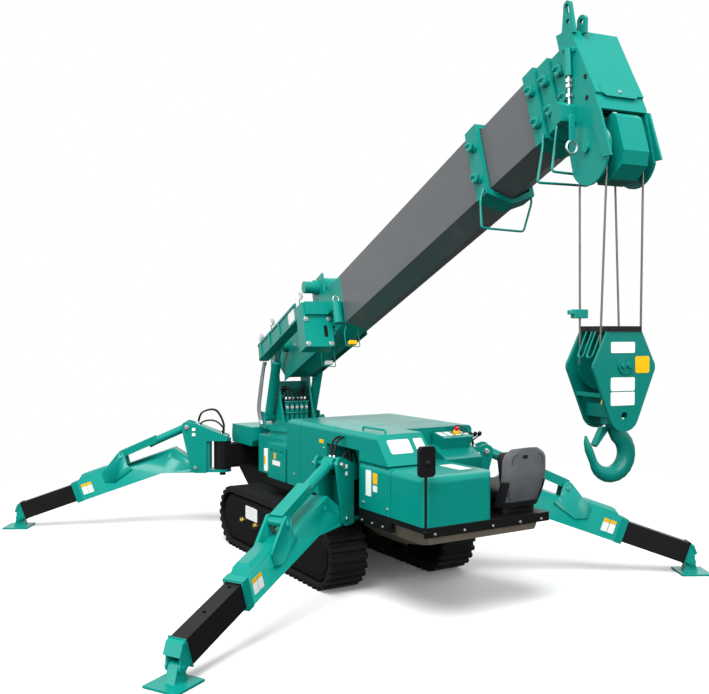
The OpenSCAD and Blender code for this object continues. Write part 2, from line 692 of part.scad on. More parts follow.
head_plate = 12;
head_half = 143;
head_reach = section_end(3) + head_ahead;
head_back = section_end(3) + 8;
head_front = head_reach + 137;
head_low = -head_drop - 180;
head_top = boom_side / 2 - 5;
sheave_axis = [head_reach, -head_drop];
sheave_pin = 22;
sheave_y = 105;
lug_plate = 18;
cover_half = sheave_y - 31;
module boom_head() {
    round_low = arc(sheave_axis - [0, 40], 140, -35, -165, 10);
    cheek = concat(
        [[head_back, head_top + 40], [head_front - 72, head_top], [head_front - 30, -60], [head_front, -262]],
        round_low,
        [[head_reach - 128, head_low + 240], [head_back, -boom_side / 2 - 10]]);
    color(green) at_boom() {
        boom_section(4, 1250);
        section_bar(4, section_end(3) - 200, head_back + 60);
        for (side = [-1, 1]) side_plate(cheek, side > 0 ? head_half - head_plate : -head_half,
                                        side > 0 ? head_half : -head_half + head_plate);
        // Sloped front cover with its folded lip, and the plate under it
        side_plate([[head_front - 84, head_top - 1], [head_front - 70, head_top - 1], [head_front - 24, -60], [head_front + 4, -200],
                    [head_front - 8, -205], [head_front - 38, -60]], -head_half + 3, head_half - 3);
        side_plate([[head_front - 20, -190], [head_front - 8, -190], [head_front + 2, -285], [head_front - 12, -285]],
                   -head_half + 3, head_half - 3);
        side_plate([[head_back, head_top + 40], [head_front - 72, head_top], [head_front - 73, head_top - 12],
                    [head_back, head_top + 28]], -head_half + 2, head_half - 2);
        block([head_back, -head_half + 2, -170], [head_back + 40, head_half - 2, head_top + 30]);
        // Flanges ahead of the cheeks
        for (side = [-1, 1]) side_plate([[head_front - 30, -262], [head_front + 12, -290], [head_front + 16, -540],
                                         [head_front - 40, -520], [head_front - 60, -330]],
                                        side > 0 ? head_half - 4 : -head_half - 8, side > 0 ? head_half + 8 : -head_half + 4);
        // Cover between the sheaves
        side_plate([[head_front - 74, -306], [head_front + 4, -306], [head_front + 26, -336], sheave_axis + [160, -90],
                    sheave_axis + [128, -146], sheave_axis + [40, -178], sheave_axis + [-60, -158], [head_reach - 60, -head_drop + 20]],
                   -cover_half, cover_half);
        bar_y(sheave_axis[0], sheave_axis[1], sheave_pin, -head_half - 14, head_half + 14);
        // Lugs on the crown: a tall one with a slot and an eye, and a round one
        difference() {
            union() {
                side_plate(concat([[head_front - 150, head_top - 10], [head_front - 48, head_top - 30]],
                                  arc([head_front - 60, head_top + 124], 28, 0, 180)), -head_half, -head_half + lug_plate);
                side_plate(concat([[head_front - 110, head_top - 10], [head_front - 40, head_top - 30]],
                                  arc([head_front - 50, head_top + 36], 34, 0, 180)), -85, -85 + lug_plate);
            }
            side_plate(concat(arc([head_front - 60, head_top + 124], 13, 0, 180), arc([head_front - 62, head_top + 90], 13, 180, 360)),
                       -head_half - 1, -head_half + lug_plate + 1);
            bar_y(head_front - 76, head_top + 46, 15, -head_half - 1, -head_half + lug_plate + 1);
            bar_y(head_front - 50, head_top + 36, shackle_bore, -100, -50);
        }
        // Rope anchor beside the head
        side_plate([[head_back - 20, -150], [head_reach - 40, -150], [head_reach - 6, -190], [head_reach - 30, -262],
                    [head_back - 30, -262], [head_back - 60, -220]], -head_half - 92, -head_half + 1);
    }
}

shackle_bore = 16;
module head_sheaves() {
    color(green) at_boom() for (side = [-1, 1]) translate([sheave_axis[0], side * sheave_y, sheave_axis[1]]) rotate([90, 0, 0])
        rotate_extrude() polygon([[sheave_pin + fit, -22], [sheave_radius, -22], [sheave_radius - 14, -rope / 2],
                                  [sheave_radius - 14, rope / 2], [sheave_radius, 22], [sheave_pin + fit, 22]]);
}

// Hook, hanging straight down from the head sheave axis: X ahead along the boom
hang = tower_point(sheave_axis);
module at_hook() {
    at_tower() translate([hang[0], 0, hang[1]]) children();
}

block_plate = 16;
// Each fall leans from its place at the head to its place at the block
fall_head = [sheave_radius - 14 + rope / 2 + 0.5, sheave_y];
fall_x = block_thickness / 2 - block_plate - 18;
fall_y = sheave_y + 15;
fall_lean = [fall_head[0] - fall_x, fall_head[1] - fall_y];
fall_length = norm([fall_lean[0], fall_lean[1], block_drop]);
block_sheave = fall_y + 8;
shank = 24;
module ropes() {
    color(steel) at_hook() for (x = [-1, 1]) for (y = [-1, 1])
        translate([x * fall_x, y * fall_y, -block_drop])
            rotate([0, acos(block_drop / fall_length), atan2(y * fall_lean[1], x * fall_lean[0])])
                cylinder(d = rope, h = fall_length);
}

block_top = 160;
block_foot = -300;
block_pin = 42;
tie_bore = 18;
module hook_block() {
    w = block_width / 2;
    outline = concat([[-w * 0.56, block_top], [w * 0.56, block_top]], arc([w - 50, -8], 50, 40, -18, 5),
                     arc([0, block_foot + 72], 86, -18, -162, 10), arc([-w + 50, -8], 50, 198, 140, 5));
    half = block_thickness / 2;
    color(green) at_hook() translate([0, 0, -block_drop]) difference() {
        union() {
            for (side = [-1, 1]) cross_prism(outline, side > 0 ? half - block_plate : -half, side > 0 ? half : -half + block_plate);
            block([-half + block_plate - 1, -62, -250], [half - block_plate + 1, 62, -190]);
            for (y = [-1, 1]) block([-half + block_plate - 1, y * (w - 65) - 12, -150], [half - block_plate + 1, y * (w - 65) + 12, -132]);
            rotate([0, 90, 0]) cylinder(r = 30, h = 2 * half - 10, center = true);
            for (side = [-1, 1]) translate([side * half, 0, 0]) rotate([0, 90, 0]) cylinder(r = block_pin, h = 16, center = true);
        }
        translate([0, 0, -300]) cylinder(r = shank + fit, h = 200);
        translate([-half - 20, 0, block_foot + 62]) rotate([0, 90, 0]) cylinder(r = tie_bore, h = 2 * half + 40);
    }
    color(steel) at_hook() translate([0, 0, -block_drop]) for (x = [-1, 1]) translate([x * fall_x, 0, 0]) rotate([0, 90, 0])
        rotate_extrude() polygon([[29, -12], [block_sheave, -12], [fall_y - rope / 2 - 0.5, -rope / 2],
                                  [fall_y - rope / 2 - 0.5, rope / 2], [block_sheave, 12], [29, 12]]);
    color(black) at_hook() translate([0, 0, -block_drop]) block([-half - 4, -w * 0.56 + 6, block_top - 1], [half + 4, w * 0.56 - 6, block_top + 26]);
}

// Hook: its bowl between two circles, its section an ellipse that narrows to the tip
bowl_middle = [-12, 14];
outer_radius = 138;
outer_middle = [11, 8];
hook_low = 442;
hook_z = -block_drop - hook_low;
// Depth of the hook outside its bowl in direction a
function hook_depth(a) =
    let (d = bowl_middle - outer_middle, b = d * unit(a))
    -b + sqrt(b * b - d * d + outer_radius * outer_radius) - hook_bowl;
hook_turns = [for (a = [55 : -15 : -155]) a];
// The bowl thins from below towards the tip
function hook_thin(a) = a > -95 ? 1 : 1 - 0.32 * pow((-95 - a) / 60, 2);
hook_spine = concat(
    [[0, 164, 24, 24], [3, 154, 26, 26], [24, 130, 33, 29]],
    [for (a = hook_turns) let (k = hook_thin(a), d = hook_depth(a))
        concat(bowl_middle + (hook_bowl + d / 2) * unit(a), [d / 2 * k, (24 + d * 0.12) * k])],
    [[-122, 36, 21, 18], [-136, 74, 14, 13], [-141, 104, 5, 5]]);
hook_sides = 14;
function spine_turn(i) =
    let (a = hook_spine[max(i - 1, 0)], b = hook_spine[min(i + 1, len(hook_spine) - 1)])
    atan2(b[1] - a[1], b[0] - a[0]) + 90;
hook_points = [for (i = [0 : len(hook_spine) - 1]) for (j = [0 : hook_sides - 1])
    let (q = hook_spine[i], t = spine_turn(i), a = 360 * j / hook_sides)
    [q[3] * sin(a), q[0] + q[2] * cos(a) * cos(t), q[1] + q[2] * cos(a) * sin(t)]];
hook_last = len(hook_spine) - 1;
hook_faces = concat(
    [for (i = [0 : hook_last - 1]) for (j = [0 : hook_sides - 1]) for (half = [0, 1])
        let (a = i * hook_sides + j, b = i * hook_sides + (j + 1) % hook_sides)
        half == 0 ? [a, a + hook_sides, b] : [b, a + hook_sides, b + hook_sides]],
    [[for (j = [0 : hook_sides - 1]) j]],
    [[for (j = [hook_sides - 1 : -1 : 0]) hook_last * hook_sides + j]]);
module hook() {
    color(green) at_hook() {
        translate([0, 0, hook_z]) polyhedron(hook_points, hook_faces, convexity = 6);
        translate([0, 0, hook_z + 160]) cylinder(r = shank, h = hook_low - 160 - 165);
        translate([0, 0, -block_drop - 190 + seat_gap]) cylinder(r = 44, h = 26);
        translate([0, 0, -block_drop - 284]) cylinder(r = 44, h = 30);
    }
}

// Body

cover_round = 40;
tail_front = -1780;
tail_rear = -1950;
tail_inner = 120;
tail_low = hood_top + 4;
seam = 5;
// Outside of the main cover, drawn in by g
module cover_form(g) {
    side = concat([[cover_front - g, floor_height - 1]], arc([cover_front - 60, cover_top - 60], 60 - g, 0, 90, 6),
                  [[tail_front, cover_top - g], [tail_rear + g, tail_low + g], [tail_rear + g, floor_height - 1]]);
    intersection() {
        side_plate(side, -700, 700);
        cross_prism(round_top(-body_half + g, body_half - g, floor_height - 1, cover_top - g, cover_round, cover_round), -3000, 0);
    }
}

module body_cover() {
    color(green) difference() {
        cover_form(0);
        cover_form(sheet);
        for (x = [-616, -1187]) difference() {
            block([x - seam / 2, -700, floor_height], [x + seam / 2, 700, cover_top + 1]);
            cover_form(sheet / 2);
        }
        block([-3000, -700, floor_height - 10], [0, 700, floor_height]);
        block([-3000, -700, floor_height - 10], [bay_front, 700, hood_top]);
        block([-3000, -700, floor_height - 10], [bay_front, tail_inner, cover_top + 1]);
        for (side = [-1, 1]) block([bay_front, side > 0 ? leg_recess : -700, floor_height - 10],
                                   [recess_front, side > 0 ? 700 : -leg_recess, recess_top]);
    }
    // Walls of the leg recesses
    color(green) for (side = [-1, 1]) difference() {
        block([side > 0 ? bay_front - sheet : bay_front, side > 0 ? leg_recess - sheet : -body_half + sheet / 2, recess_low],
              [recess_front + sheet, side > 0 ? body_half - sheet / 2 : -leg_recess + sheet, recess_top + sheet]);
        block([side > 0 ? bay_front : bay_front - 1, side > 0 ? leg_recess : -700, floor_height - 1],
              [recess_front, side > 0 ? 700 : -leg_recess, recess_top]);
        block([-3000, -700, floor_height - 10], [bay_front, 700, hood_top + 1]);
    }
    // Rear wall of the cover and the inner end of its tail
    color(green) intersection() {
        cover_form(sheet / 2);
        union() {
            block([bay_front, -leg_recess, hood_top + 1], [bay_front + sheet, tail_inner + sheet, cover_top]);
            block([bay_front, -700, recess_top], [bay_front + sheet, -leg_recess + 1, cover_top]);
            block([tail_rear, tail_inner, hood_top + 1], [bay_front + sheet, tail_inner + sheet, cover_top]);
        }
    }
}

deck_depth = 40;
deck_lip = 12;
step = 45;
step_front = -1810;
module deck() {
    color(black) {
        translate([0, 0, floor_height - deck_depth]) linear_extrude(deck_depth)
            polygon([[body_rear - deck_lip, -body_half - step], [step_front, -body_half - step], [step_front + step, -body_half],
                     [bay_front, -body_half], [bay_front, body_half], [body_rear - deck_lip, body_half]]);
        block([body_rear - deck_lip, -body_half - step, floor_height - 66], [body_rear + 10, body_half, floor_height - deck_depth + 1]);
        block([bay_front - 430, body_half - 20, floor_height - 110], [bay_front, body_half, floor_height - deck_depth + 1]);
    }
}

belly_low = floor_height - 238;
module belly_plate() {
    color(tan_grey) intersection() {
        side_plate([[bay_front + 30, belly_low], [-1830, belly_low], [body_rear + 20, floor_height - 120], [body_rear + 20, floor_height - deck_depth],
                    [bay_front, floor_height - deck_depth], [bay_front, floor_height - 100], [bay_front + 30, floor_height - 100]], -700, 700);
        cross_prism([[-body_half + 30, floor_height - deck_depth], [-body_half + 60, floor_height - 110], [-300, belly_low - 1], [330, belly_low - 1],
                     [body_half - 60, floor_height - 140], [body_half - 30, floor_height - deck_depth]], -3000, 0);
    }
}

module engine() {
    color(grey) block([body_rear + 70, hood_inner + 100, floor_height], [bay_front - 80, body_half - 100, hood_top - 90]);
}

hood_seam = -1980;
hood_inner = body_half - hood_width;
lid_gap = 6;
// Outside of the engine hood, drawn in by g: rounded along its top, its rear and its corners
module hood_form(g) {
    intersection() {
        cross_prism(round_top(hood_inner + g, body_half - g, floor_height - 1, hood_top - g, 24, 62), -3000, 0);
        side_plate(concat([[0, floor_height - 1], [0, hood_top - g]], arc([body_rear + 56, hood_top - 12 - 56], 56 - g, 90, 180, 6),
                          [[body_rear + g, floor_height - 1]]), -700, 700);
        translate([0, 0, floor_height - 2]) linear_extrude(800)
            polygon(concat([[0, body_half - g], [0, hood_inner + g]], arc([body_rear + 50, hood_inner + 50], 50 - g, 270, 180, 6),
                           arc([body_rear + 50, body_half - 50], 50 - g, 180, 90, 6)));
    }
}

// Hinges along the right edge of the lid
hinge_z = hood_top - 37;
hinge_y = hood_inner - 9;
hinge_barrel = 8;
hinge_rod = 4;
hinge_x = [body_rear + 150, hood_seam - 130];
module hinge_part(low, high, leaf_low, leaf_high) {
    for (x = hinge_x) {
        translate([x + low, hinge_y, hinge_z]) rotate([0, 90, 0]) cylinder(r = hinge_barrel, h = high - low);
        block([x + low, hinge_y, hinge_z + leaf_low], [x + high, hood_inner + 2, hinge_z + leaf_high]);
    }
}

module engine_bay() {
    color(green) {
        hinge_part(-46, -21, -20, -4);
        hinge_part(21, 46, -20, -4);
        for (x = hinge_x) translate([x - 46, hinge_y, hinge_z]) rotate([0, 90, 0]) cylinder(r = hinge_rod, h = 92);
        difference() {
            hood_form(0);
            hood_form(sheet);
            block([-3000, -700, 0], [hood_seam, 700, 2000]);
            block([bay_front, -700, 0], [1, 700, 2000]);
            block([-3000, -700, 0], [0, 700, floor_height]);
        }
        block([body_rear + 60, hood_inner, floor_height], [hood_seam + 1, hood_inner + sheet, hinge_z - 3]);
        block([bay_front - sheet, hood_inner + sheet - 1, floor_height], [bay_front, body_half - sheet + 1, hood_top - 40]);
    }
}

module engine_hood() {
    color(green) difference() {
        union() {
            difference() {
                hood_form(0);
                hood_form(sheet);
                block([hood_seam - lid_gap, -700, 0], [1, 700, 2000]);
                block([-3000, -700, 0], [0, 700, floor_height + seat_gap]);
                block([-3000, hood_inner - 10, 0], [1, hood_inner + 12, hinge_z + 3]);
            }
            hinge_part(-20, 20, 4, 16);
        }
        for (x = hinge_x) translate([x - 50, hinge_y, hinge_z]) rotate([0, 90, 0]) cylinder(r = hinge_rod + fit, h = 100);
    }
}

module console() {
    color(green) side_plate([[bay_front, floor_height], [-1800, floor_height], [-1830, 1040], [-1800, 1060], [-1640, 1130], [bay_front, 1130]],
                            -420, hood_inner - 8);
    color(green) side_plate([[-1700, 1100], [-1745, 1190], [-1730, 1200], [-1600, 1225], [-1580, 1120]], -400, hood_inner - 60);
}

// Seat: base, cushion and a shell back with rounded shoulders
seat_left = hood_inner - 115;
seat_width = 410;
cushion_top = 160;
back_top = 486;
module seat() {
    middle = seat_left - seat_width / 2;
    half = seat_width / 2;
    back = body_rear + 60;
    color(black) translate([back, middle, floor_height]) {
        block([20, -half + 60, 0], [350, half - 60, 90]);
        intersection() {
            side_plate(concat([[-20, 70], [370, 90]], arc([380, cushion_top - 30], 40, -90, 90, 6), [[-20, cushion_top]]), -half, half);
            linear_extrude(1000) polygon([[-70, -half], [370, -half + 20], [425, -half + 60],
                                          [425, half - 60], [370, half - 20], [-70, half]]);
        }
        intersection() {
            side_plate(concat([[70, 90], [45, cushion_top - 10]], arc([0, back_top - 36], 36, 10, 170, 6), [[-65, 300], [-55, 100]]), -half, half);
            cross_prism(concat([[-half + 30, 80], [half - 30, 80], [half, 150], [half - 8, 310]],
                               arc([half - 100, back_top - 94], 86, 10, 90, 6), arc([-half + 100, back_top - 94], 86, 90, 170, 6),
                               [[-half + 8, 310], [-half, 150]]), -100, 200);
        }
    }
}

pole = 9;
mirror_half = 63;
mirror_low = floor_height + 352;
mirror_high = mirror_low + 204;
module mirror_arm() {
    x = body_rear - deck_lip - 22;
    y = body_half + 14;
    corner = 28;
    color(black) {
        block([x - 18, body_half - 30, floor_height - 30], [body_rear - deck_lip, body_half + 30, floor_height - 12]);
        translate([x, y, floor_height - 29]) cylinder(r = pole, h = mirror_low - floor_height + 80);
        translate([x - 24, y, 0]) cross_prism(concat(
            arc([mirror_half - corner, mirror_high - corner], corner, 0, 90, 4), arc([-mirror_half + corner, mirror_high - corner], corner, 90, 180, 4),
            arc([-mirror_half + corner, mirror_low + corner], corner, 180, 270, 4), arc([mirror_half - corner, mirror_low + corner], corner, 270, 360, 4)), 0, 34);
    }
}

module power_box() {
    color(green) difference() {
        side_plate([[-330, floor_height], [20, floor_height], [20, 985], [5, 1010], [-315, 1010], [-330, 985]], 310, body_half);
        for (x = [-250, -155, -60]) block([x - 32, body_half - 8, 930], [x + 32, body_half + 1, 960]);
    }
}

foot_corner = leg_station + (foot_pin[0] + 20) * cos(leg_angle) + foot_size / 2 * (cos(leg_angle) + sin(leg_angle));
head_corner = tower_x + cos(slew_rest) * tower_point([head_front + 16, -540])[0] - (head_half + 8) * sin(slew_rest);
// Distance that brings the middle of the overall box to the origin
frame_shift = -(foot_corner + head_corner) / 2;

framed() main_frame();
framed() track_left();
framed() track_right();
framed() track_frames();
framed() track_wheels();
framed() pedestal();
framed() front_box();
framed() body_cover();
framed() deck();
framed() belly_plate();
framed() engine();
framed() engine_bay();
framed() engine_hood();
framed() console();
framed() seat();
framed() mirror_arm();  // mirror
framed() power_box();
framed() tower();
framed() valve_block();
framed() lift_barrels();
framed() lift_rods();
framed() boom_base();
framed() winch();
framed() side_housing();
framed() boom_second();
framed() boom_third();
framed() boom_fourth();
framed() boom_head();
framed() head_sheaves();
framed() ropes();
framed() hook_block();
framed() hook();
for (i = [0 : 3]) framed() {
    at_leg(i) knuckle();
    at_leg(i) leg();
    at_leg(i) inner();
    at_leg(i) foot();
    at_leg(i) jack_barrel();
    at_leg(i) jack_rod();
}
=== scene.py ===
"""Looks of a rubber-tracked crane: finishes for its parts, and the trim, hoses, ropes and seat around them."""
import json
import math

import bmesh
import bpy
import numpy as np
from mathutils import Matrix


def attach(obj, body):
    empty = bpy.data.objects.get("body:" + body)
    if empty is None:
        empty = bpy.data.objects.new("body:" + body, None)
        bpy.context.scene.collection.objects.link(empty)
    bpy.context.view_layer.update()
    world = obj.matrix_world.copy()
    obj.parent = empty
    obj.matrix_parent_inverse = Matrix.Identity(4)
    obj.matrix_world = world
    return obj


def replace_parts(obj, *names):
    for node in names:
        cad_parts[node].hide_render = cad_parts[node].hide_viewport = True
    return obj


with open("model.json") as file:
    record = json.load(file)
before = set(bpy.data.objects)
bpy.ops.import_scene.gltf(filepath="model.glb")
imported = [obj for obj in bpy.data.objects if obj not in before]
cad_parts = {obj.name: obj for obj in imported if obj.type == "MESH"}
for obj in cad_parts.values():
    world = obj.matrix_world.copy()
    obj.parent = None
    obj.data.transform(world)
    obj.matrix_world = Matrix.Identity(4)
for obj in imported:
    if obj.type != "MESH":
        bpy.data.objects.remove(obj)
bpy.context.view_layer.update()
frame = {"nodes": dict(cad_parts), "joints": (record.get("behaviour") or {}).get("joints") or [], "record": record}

bl_info = {
    "name": "Tracked crane looks",
    "version": (1, 0, 0),
    "blender": (4, 5, 0),
    "location": "View3D > Sidebar > Crane",
    "description": "Paints the crane's parts and adds its ropes, hoses, bolts, plates, seat and stage",
    "category": "Object",
}

JOINTS = {joint["name"]: joint for joint in frame["joints"]}
LEGS = ("front_left", "front_right", "rear_left", "rear_right")
MM = 0.001
UP = (0, 0, 1)
# Right and left, or below and above
SIDES = (-1, 1)


# Colour, vectors and places

def linear(code):
    """An sRGB hex colour as linear RGBA."""
    c = np.array([int(code[k:k + 2], 16) for k in (1, 3, 5)]) / 255
    return (*np.where(c <= 0.04045, c / 12.92, ((c + 0.055) / 1.055) ** 2.4), 1.0)


def unit(v):
    """Vectors along the last axis at length 1."""
    v = np.asarray(v, float)
    return v / np.linalg.norm(v, axis=-1, keepdims=True)


class Place:
    """A frame of its own in the machine: an origin, x ahead, z as near to up as x lets it, y to the left of x."""

    def __init__(self, origin, ahead, up=UP):
        self.origin = np.asarray(origin, float)
        x = unit(ahead)
        y = unit(np.cross(up, x))
        self.axes = np.stack([x, y, np.cross(x, y)])

    def out(self, points):
        """Points of this place in the machine's frame."""
        return np.asarray(points, float) @ self.axes + self.origin

    def into(self, points):
        """Points of the machine's frame in this place."""
        return (np.asarray(points, float) - self.origin) @ self.axes.T

    def at(self, point, ahead=(1, 0, 0), up=UP):
        """A place at a point of this one, its x and its up given in this one's directions."""
        return Place(self.out(point), np.asarray(ahead, float) @ self.axes, np.asarray(up, float) @ self.axes)

    def beside(self, point, side=1):
        """A place whose z points to the left of this one, or with side -1 to the right."""
        return self.at(point, (1, 0, 0), (0, side, 0))

    def facing(self, point, way=1):
        """A place whose z points ahead of this one, or with way -1 behind."""
        return self.at(point, (0, 1, 0), (way, 0, 0))

    def extent(self, node, above=-math.inf, below=math.inf):
        """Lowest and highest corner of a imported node, measured in this place, between two heights."""
        mesh = frame["nodes"][node].data
        co = np.empty(len(mesh.vertices) * 3, np.float32)
        mesh.vertices.foreach_get("co", co)
        p = self.into(co.reshape(-1, 3))
        p = p[(p[:, 2] > above) & (p[:, 2] < below)]
        return p.min(0), p.max(0)


HERE = Place((0, 0, 0), (1, 0, 0))
SLEW = np.array(JOINTS["slew"]["pos_m"])
# Slewing axis ahead of the outriggers' centre, from which the body is measured
CHASSIS = Place((SLEW[0] - 0.448, 0, 0), (1, 0, 0))
# Boom foot pin from the point of the boom's middle line over the slewing axis: along the boom, and above it
BOOM_FOOT = (-0.250, 0.120)
BOOM_AHEAD = np.array(JOINTS["tele_second"]["axis"])
BOOM_ABOVE = np.cross(BOOM_AHEAD, -np.array(JOINTS["luff"]["axis"]))
BOOM = Place(np.array(JOINTS["luff"]["pos_m"]) - BOOM_FOOT[0] * BOOM_AHEAD - BOOM_FOOT[1] * BOOM_ABOVE, BOOM_AHEAD)
TOWER = Place((SLEW[0], SLEW[1], 0), (*BOOM_AHEAD[:2], 0))
HANG = Place(JOINTS["hook_hang"]["pos_m"], (*BOOM_AHEAD[:2], 0))
# Hook block, from the head's sheave axis: height of its own sheave axis, and its broad faces ahead and behind
BLOCK_PIN = HANG.extent("hook_block")[1][2] - 0.186
BLOCK_FACE = HANG.extent("hook_block")[1][0] - 0.008
# Collars of the boom's sections: length along the boom, and half the height of the section's flat sides
COLLARS = {
    "boom_base": (0.120, 0.2), "boom_second": (0.1, 0.185), "boom_third": (0.1, 0.17), "boom_fourth": (0.1, 0.155),
}
# Front plate of the housing along the boom, and flap of the head's front cover
HOUSING_FRONT = 1.36
FLAP = BOOM.at((4.872, 0, -0.188), (0, 1, 0), (0.98, 0, 0.196))


def leg_place(name):
    """Place of one outrigger: origin on the floor under its swing post, x outwards."""
    out = JOINTS["extend_" + name]["axis"]
    return Place((*JOINTS["swing_" + name]["pos_m"][:2], 0), (*out[:2], 0))


def box_place(name):
    """Place of one outrigger's sloping box: x down along it, origin at its hinge."""
    return Place(JOINTS["raise_" + name]["pos_m"], JOINTS["extend_" + name]["axis"])


# Shapes: each part is its points and its arrays of equal-sided faces

# Edges of pieces stay sharp from this angle on
SHARP = math.radians(35)
# All finishes by name, once they are made
MATERIALS = {}


def grid(u, v):
    """Two parameters over a grid: u changes down it, v across it."""
    return np.meshgrid(u, v, indexing="ij")


def circle(sides):
    """Angles in equal steps once round."""
    return np.linspace(0, 2 * math.pi, sides, endpoint=False)


def lattice(points, closed=False):
    """A grid of points (u, v, 3) as quads between neighbours, closed round v where asked."""
    m, n = points.shape[:2]
    u, v = grid(np.arange(m - 1), np.arange(n if closed else n - 1))
    a, b = u + 1, (v + 1) % n
    return points.reshape(-1, 3), [np.stack([u * n + v, u * n + b, a * n + b, a * n + v], -1).reshape(-1, 4)]


def capped(rings):
    """Rings of points (u, v, 3) as a closed skin, with a flat face over the first and the last ring."""
    m, n = rings.shape[:2]
    points, quads = lattice(rings, closed=True)
    ends = np.stack([np.arange(n)[::-1], (m - 1) * n + np.arange(n)])
    return points, [*quads, ends]


def joined(*parts):
    """Several parts as one: each part's faces count on from the points before it."""
    counts = np.cumsum([0] + [len(p) for p, _ in parts])
    return np.concatenate([p for p, _ in parts]), [f + counts[k] for k, (_, group) in enumerate(parts) for f in group]


def copies(part, places):
    """The same part, drawn about the origin, at many places."""
    points, faces = part
    axes, origins = (np.stack([getattr(p, key) for p in places]) for key in ("axes", "origin"))
    moved = points @ axes + origins[:, None]
    shift = np.arange(len(places))[:, None, None] * len(points)
    return moved.reshape(-1, 3), [(f[None] + shift).reshape(-1, f.shape[1]) for f in faces]


def curve(points, count):
    """Catmull-Rom curve: in each span a cubic from its two points and their two neighbours."""
    p = np.asarray(points, float)
    p = np.concatenate([2 * p[:1] - p[1:2], p, 2 * p[-1:] - p[-2:-1]])
    t = np.linspace(0, len(p) - 3, count)
    k = np.minimum(t.astype(int), len(p) - 4)
    f = (t - k)[:, None]
    a, b, c, d = p[k], p[k + 1], p[k + 2], p[k + 3]
    return 0.5 * (2 * b + (c - a) * f + (2 * a - 5 * b + 4 * c - d) * f ** 2 + (3 * b - a - 3 * c + d) * f ** 3)


def bent(points, radius, steps=6):
    """A path of straight runs with round corners: each corner a quadratic between points at the radius from it."""
    p = np.asarray(points, float)
    back, ahead = unit(p[:-2] - p[1:-1]), unit(p[2:] - p[1:-1])
    t = np.linspace(0, 1, steps)[None, :, None]
    a, b, c = (p[1:-1] + back * radius)[:, None], p[1:-1][:, None], (p[1:-1] + ahead * radius)[:, None]
    corners = (1 - t) ** 2 * a + 2 * t * (1 - t) * b + t ** 2 * c
    return np.concatenate([p[:1], corners.reshape(-1, 3), p[-1:]])


def tube(path, radius, sides=12):
    """A round bar: a circle carried along a path square to it, measured from the path's own flattest plane."""
    path = np.asarray(path, float)
    ahead = unit(np.gradient(path, axis=0))
    flat = np.linalg.svd(path - path.mean(0))[2][2]
    side = unit(np.cross(ahead, flat))
    above = np.cross(ahead, side)
    turn = circle(sides)[:, None]
    return capped(path[:, None] + radius * (np.cos(turn) * side[:, None] + np.sin(turn) * above[:, None]))


def turned(profile, place=HERE, sides=32):
    """A turned form: pairs of radius and height carried round the place's z."""
    r, h = np.asarray(profile, float).T[:, :, None]
    turn = circle(sides)
    return capped(place.out(np.stack([r * np.cos(turn), r * np.sin(turn), h + 0 * turn], -1)))


def slab(outline, low, high, place=HERE, edge=0.001):
    """A plate: an outline carried through its thickness, its two edges drawn in by a chamfer."""
    p = np.asarray(outline, float)
    along = unit(np.roll(p, -1, 0) - p)
    normal = np.stack([along[:, 1], -along[:, 0]], -1)
    before = np.roll(normal, 1, 0)
    small = p - edge * (normal + before) / (1 + (normal * before).sum(1))[:, None]
    rings = ((small, low), (p, low + edge), (p, high - edge), (small, high))
    return capped(place.out(np.stack([np.column_stack([q, np.full(len(q), z)]) for q, z in rings])))


def rounded(width, height, radius=0.01, middle=(0, 0), steps=5):
    """Outline of a rectangle with round corners about its middle: four quarter circles."""
    turn = np.linspace(0, math.pi / 2, steps) + np.arange(4)[:, None] * math.pi / 2
    x = (width / 2 - radius) * np.array([[1], [-1], [-1], [1]]) + radius * np.cos(turn) + middle[0]
    y = (height / 2 - radius) * np.array([[1], [1], [-1], [-1]]) + radius * np.sin(turn) + middle[1]
    return np.stack([x.ravel(), y.ravel()], -1)


def pillow(half, crown, power=0.3, count=56):
    """A stuffed form: a box with sides rounded by a power of sine and cosine, crowned and drawn in between corners."""
    def bow(v):
        """The power of a value, with the value's own sign."""
        return np.sign(v) * np.abs(v) ** power

    v, u = grid(np.linspace(-math.pi / 2, math.pi / 2, count // 2), circle(count))
    x, y, z = bow(np.cos(v)) * bow(np.cos(u)), bow(np.cos(v)) * bow(np.sin(u)), bow(np.sin(v))
    swell = (1 - x ** 2) * (1 - y ** 2)
    waist = 1 - 0.03 * np.cos(math.pi * np.stack([y, x]) / 2)
    return capped(np.stack([x * half[0] * waist[0], y * half[1] * waist[1], z * half[2] + crown * swell * z], -1))


def bolt(size):
    """A hexagon head on its washer, along z: two turned forms, the head of six sides."""
    r = size * 0.577
    washer = turned([(r * 1.25, 0), (r * 1.25, size * 0.08), (r * 1.2, size * 0.1), (0.001, size * 0.1)], sides=16)
    head = turned([(r, size * 0.09), (r, size * 0.42), (r * 0.86, size * 0.5), (0.001, size * 0.5)], sides=6)
    return joined(washer, head)


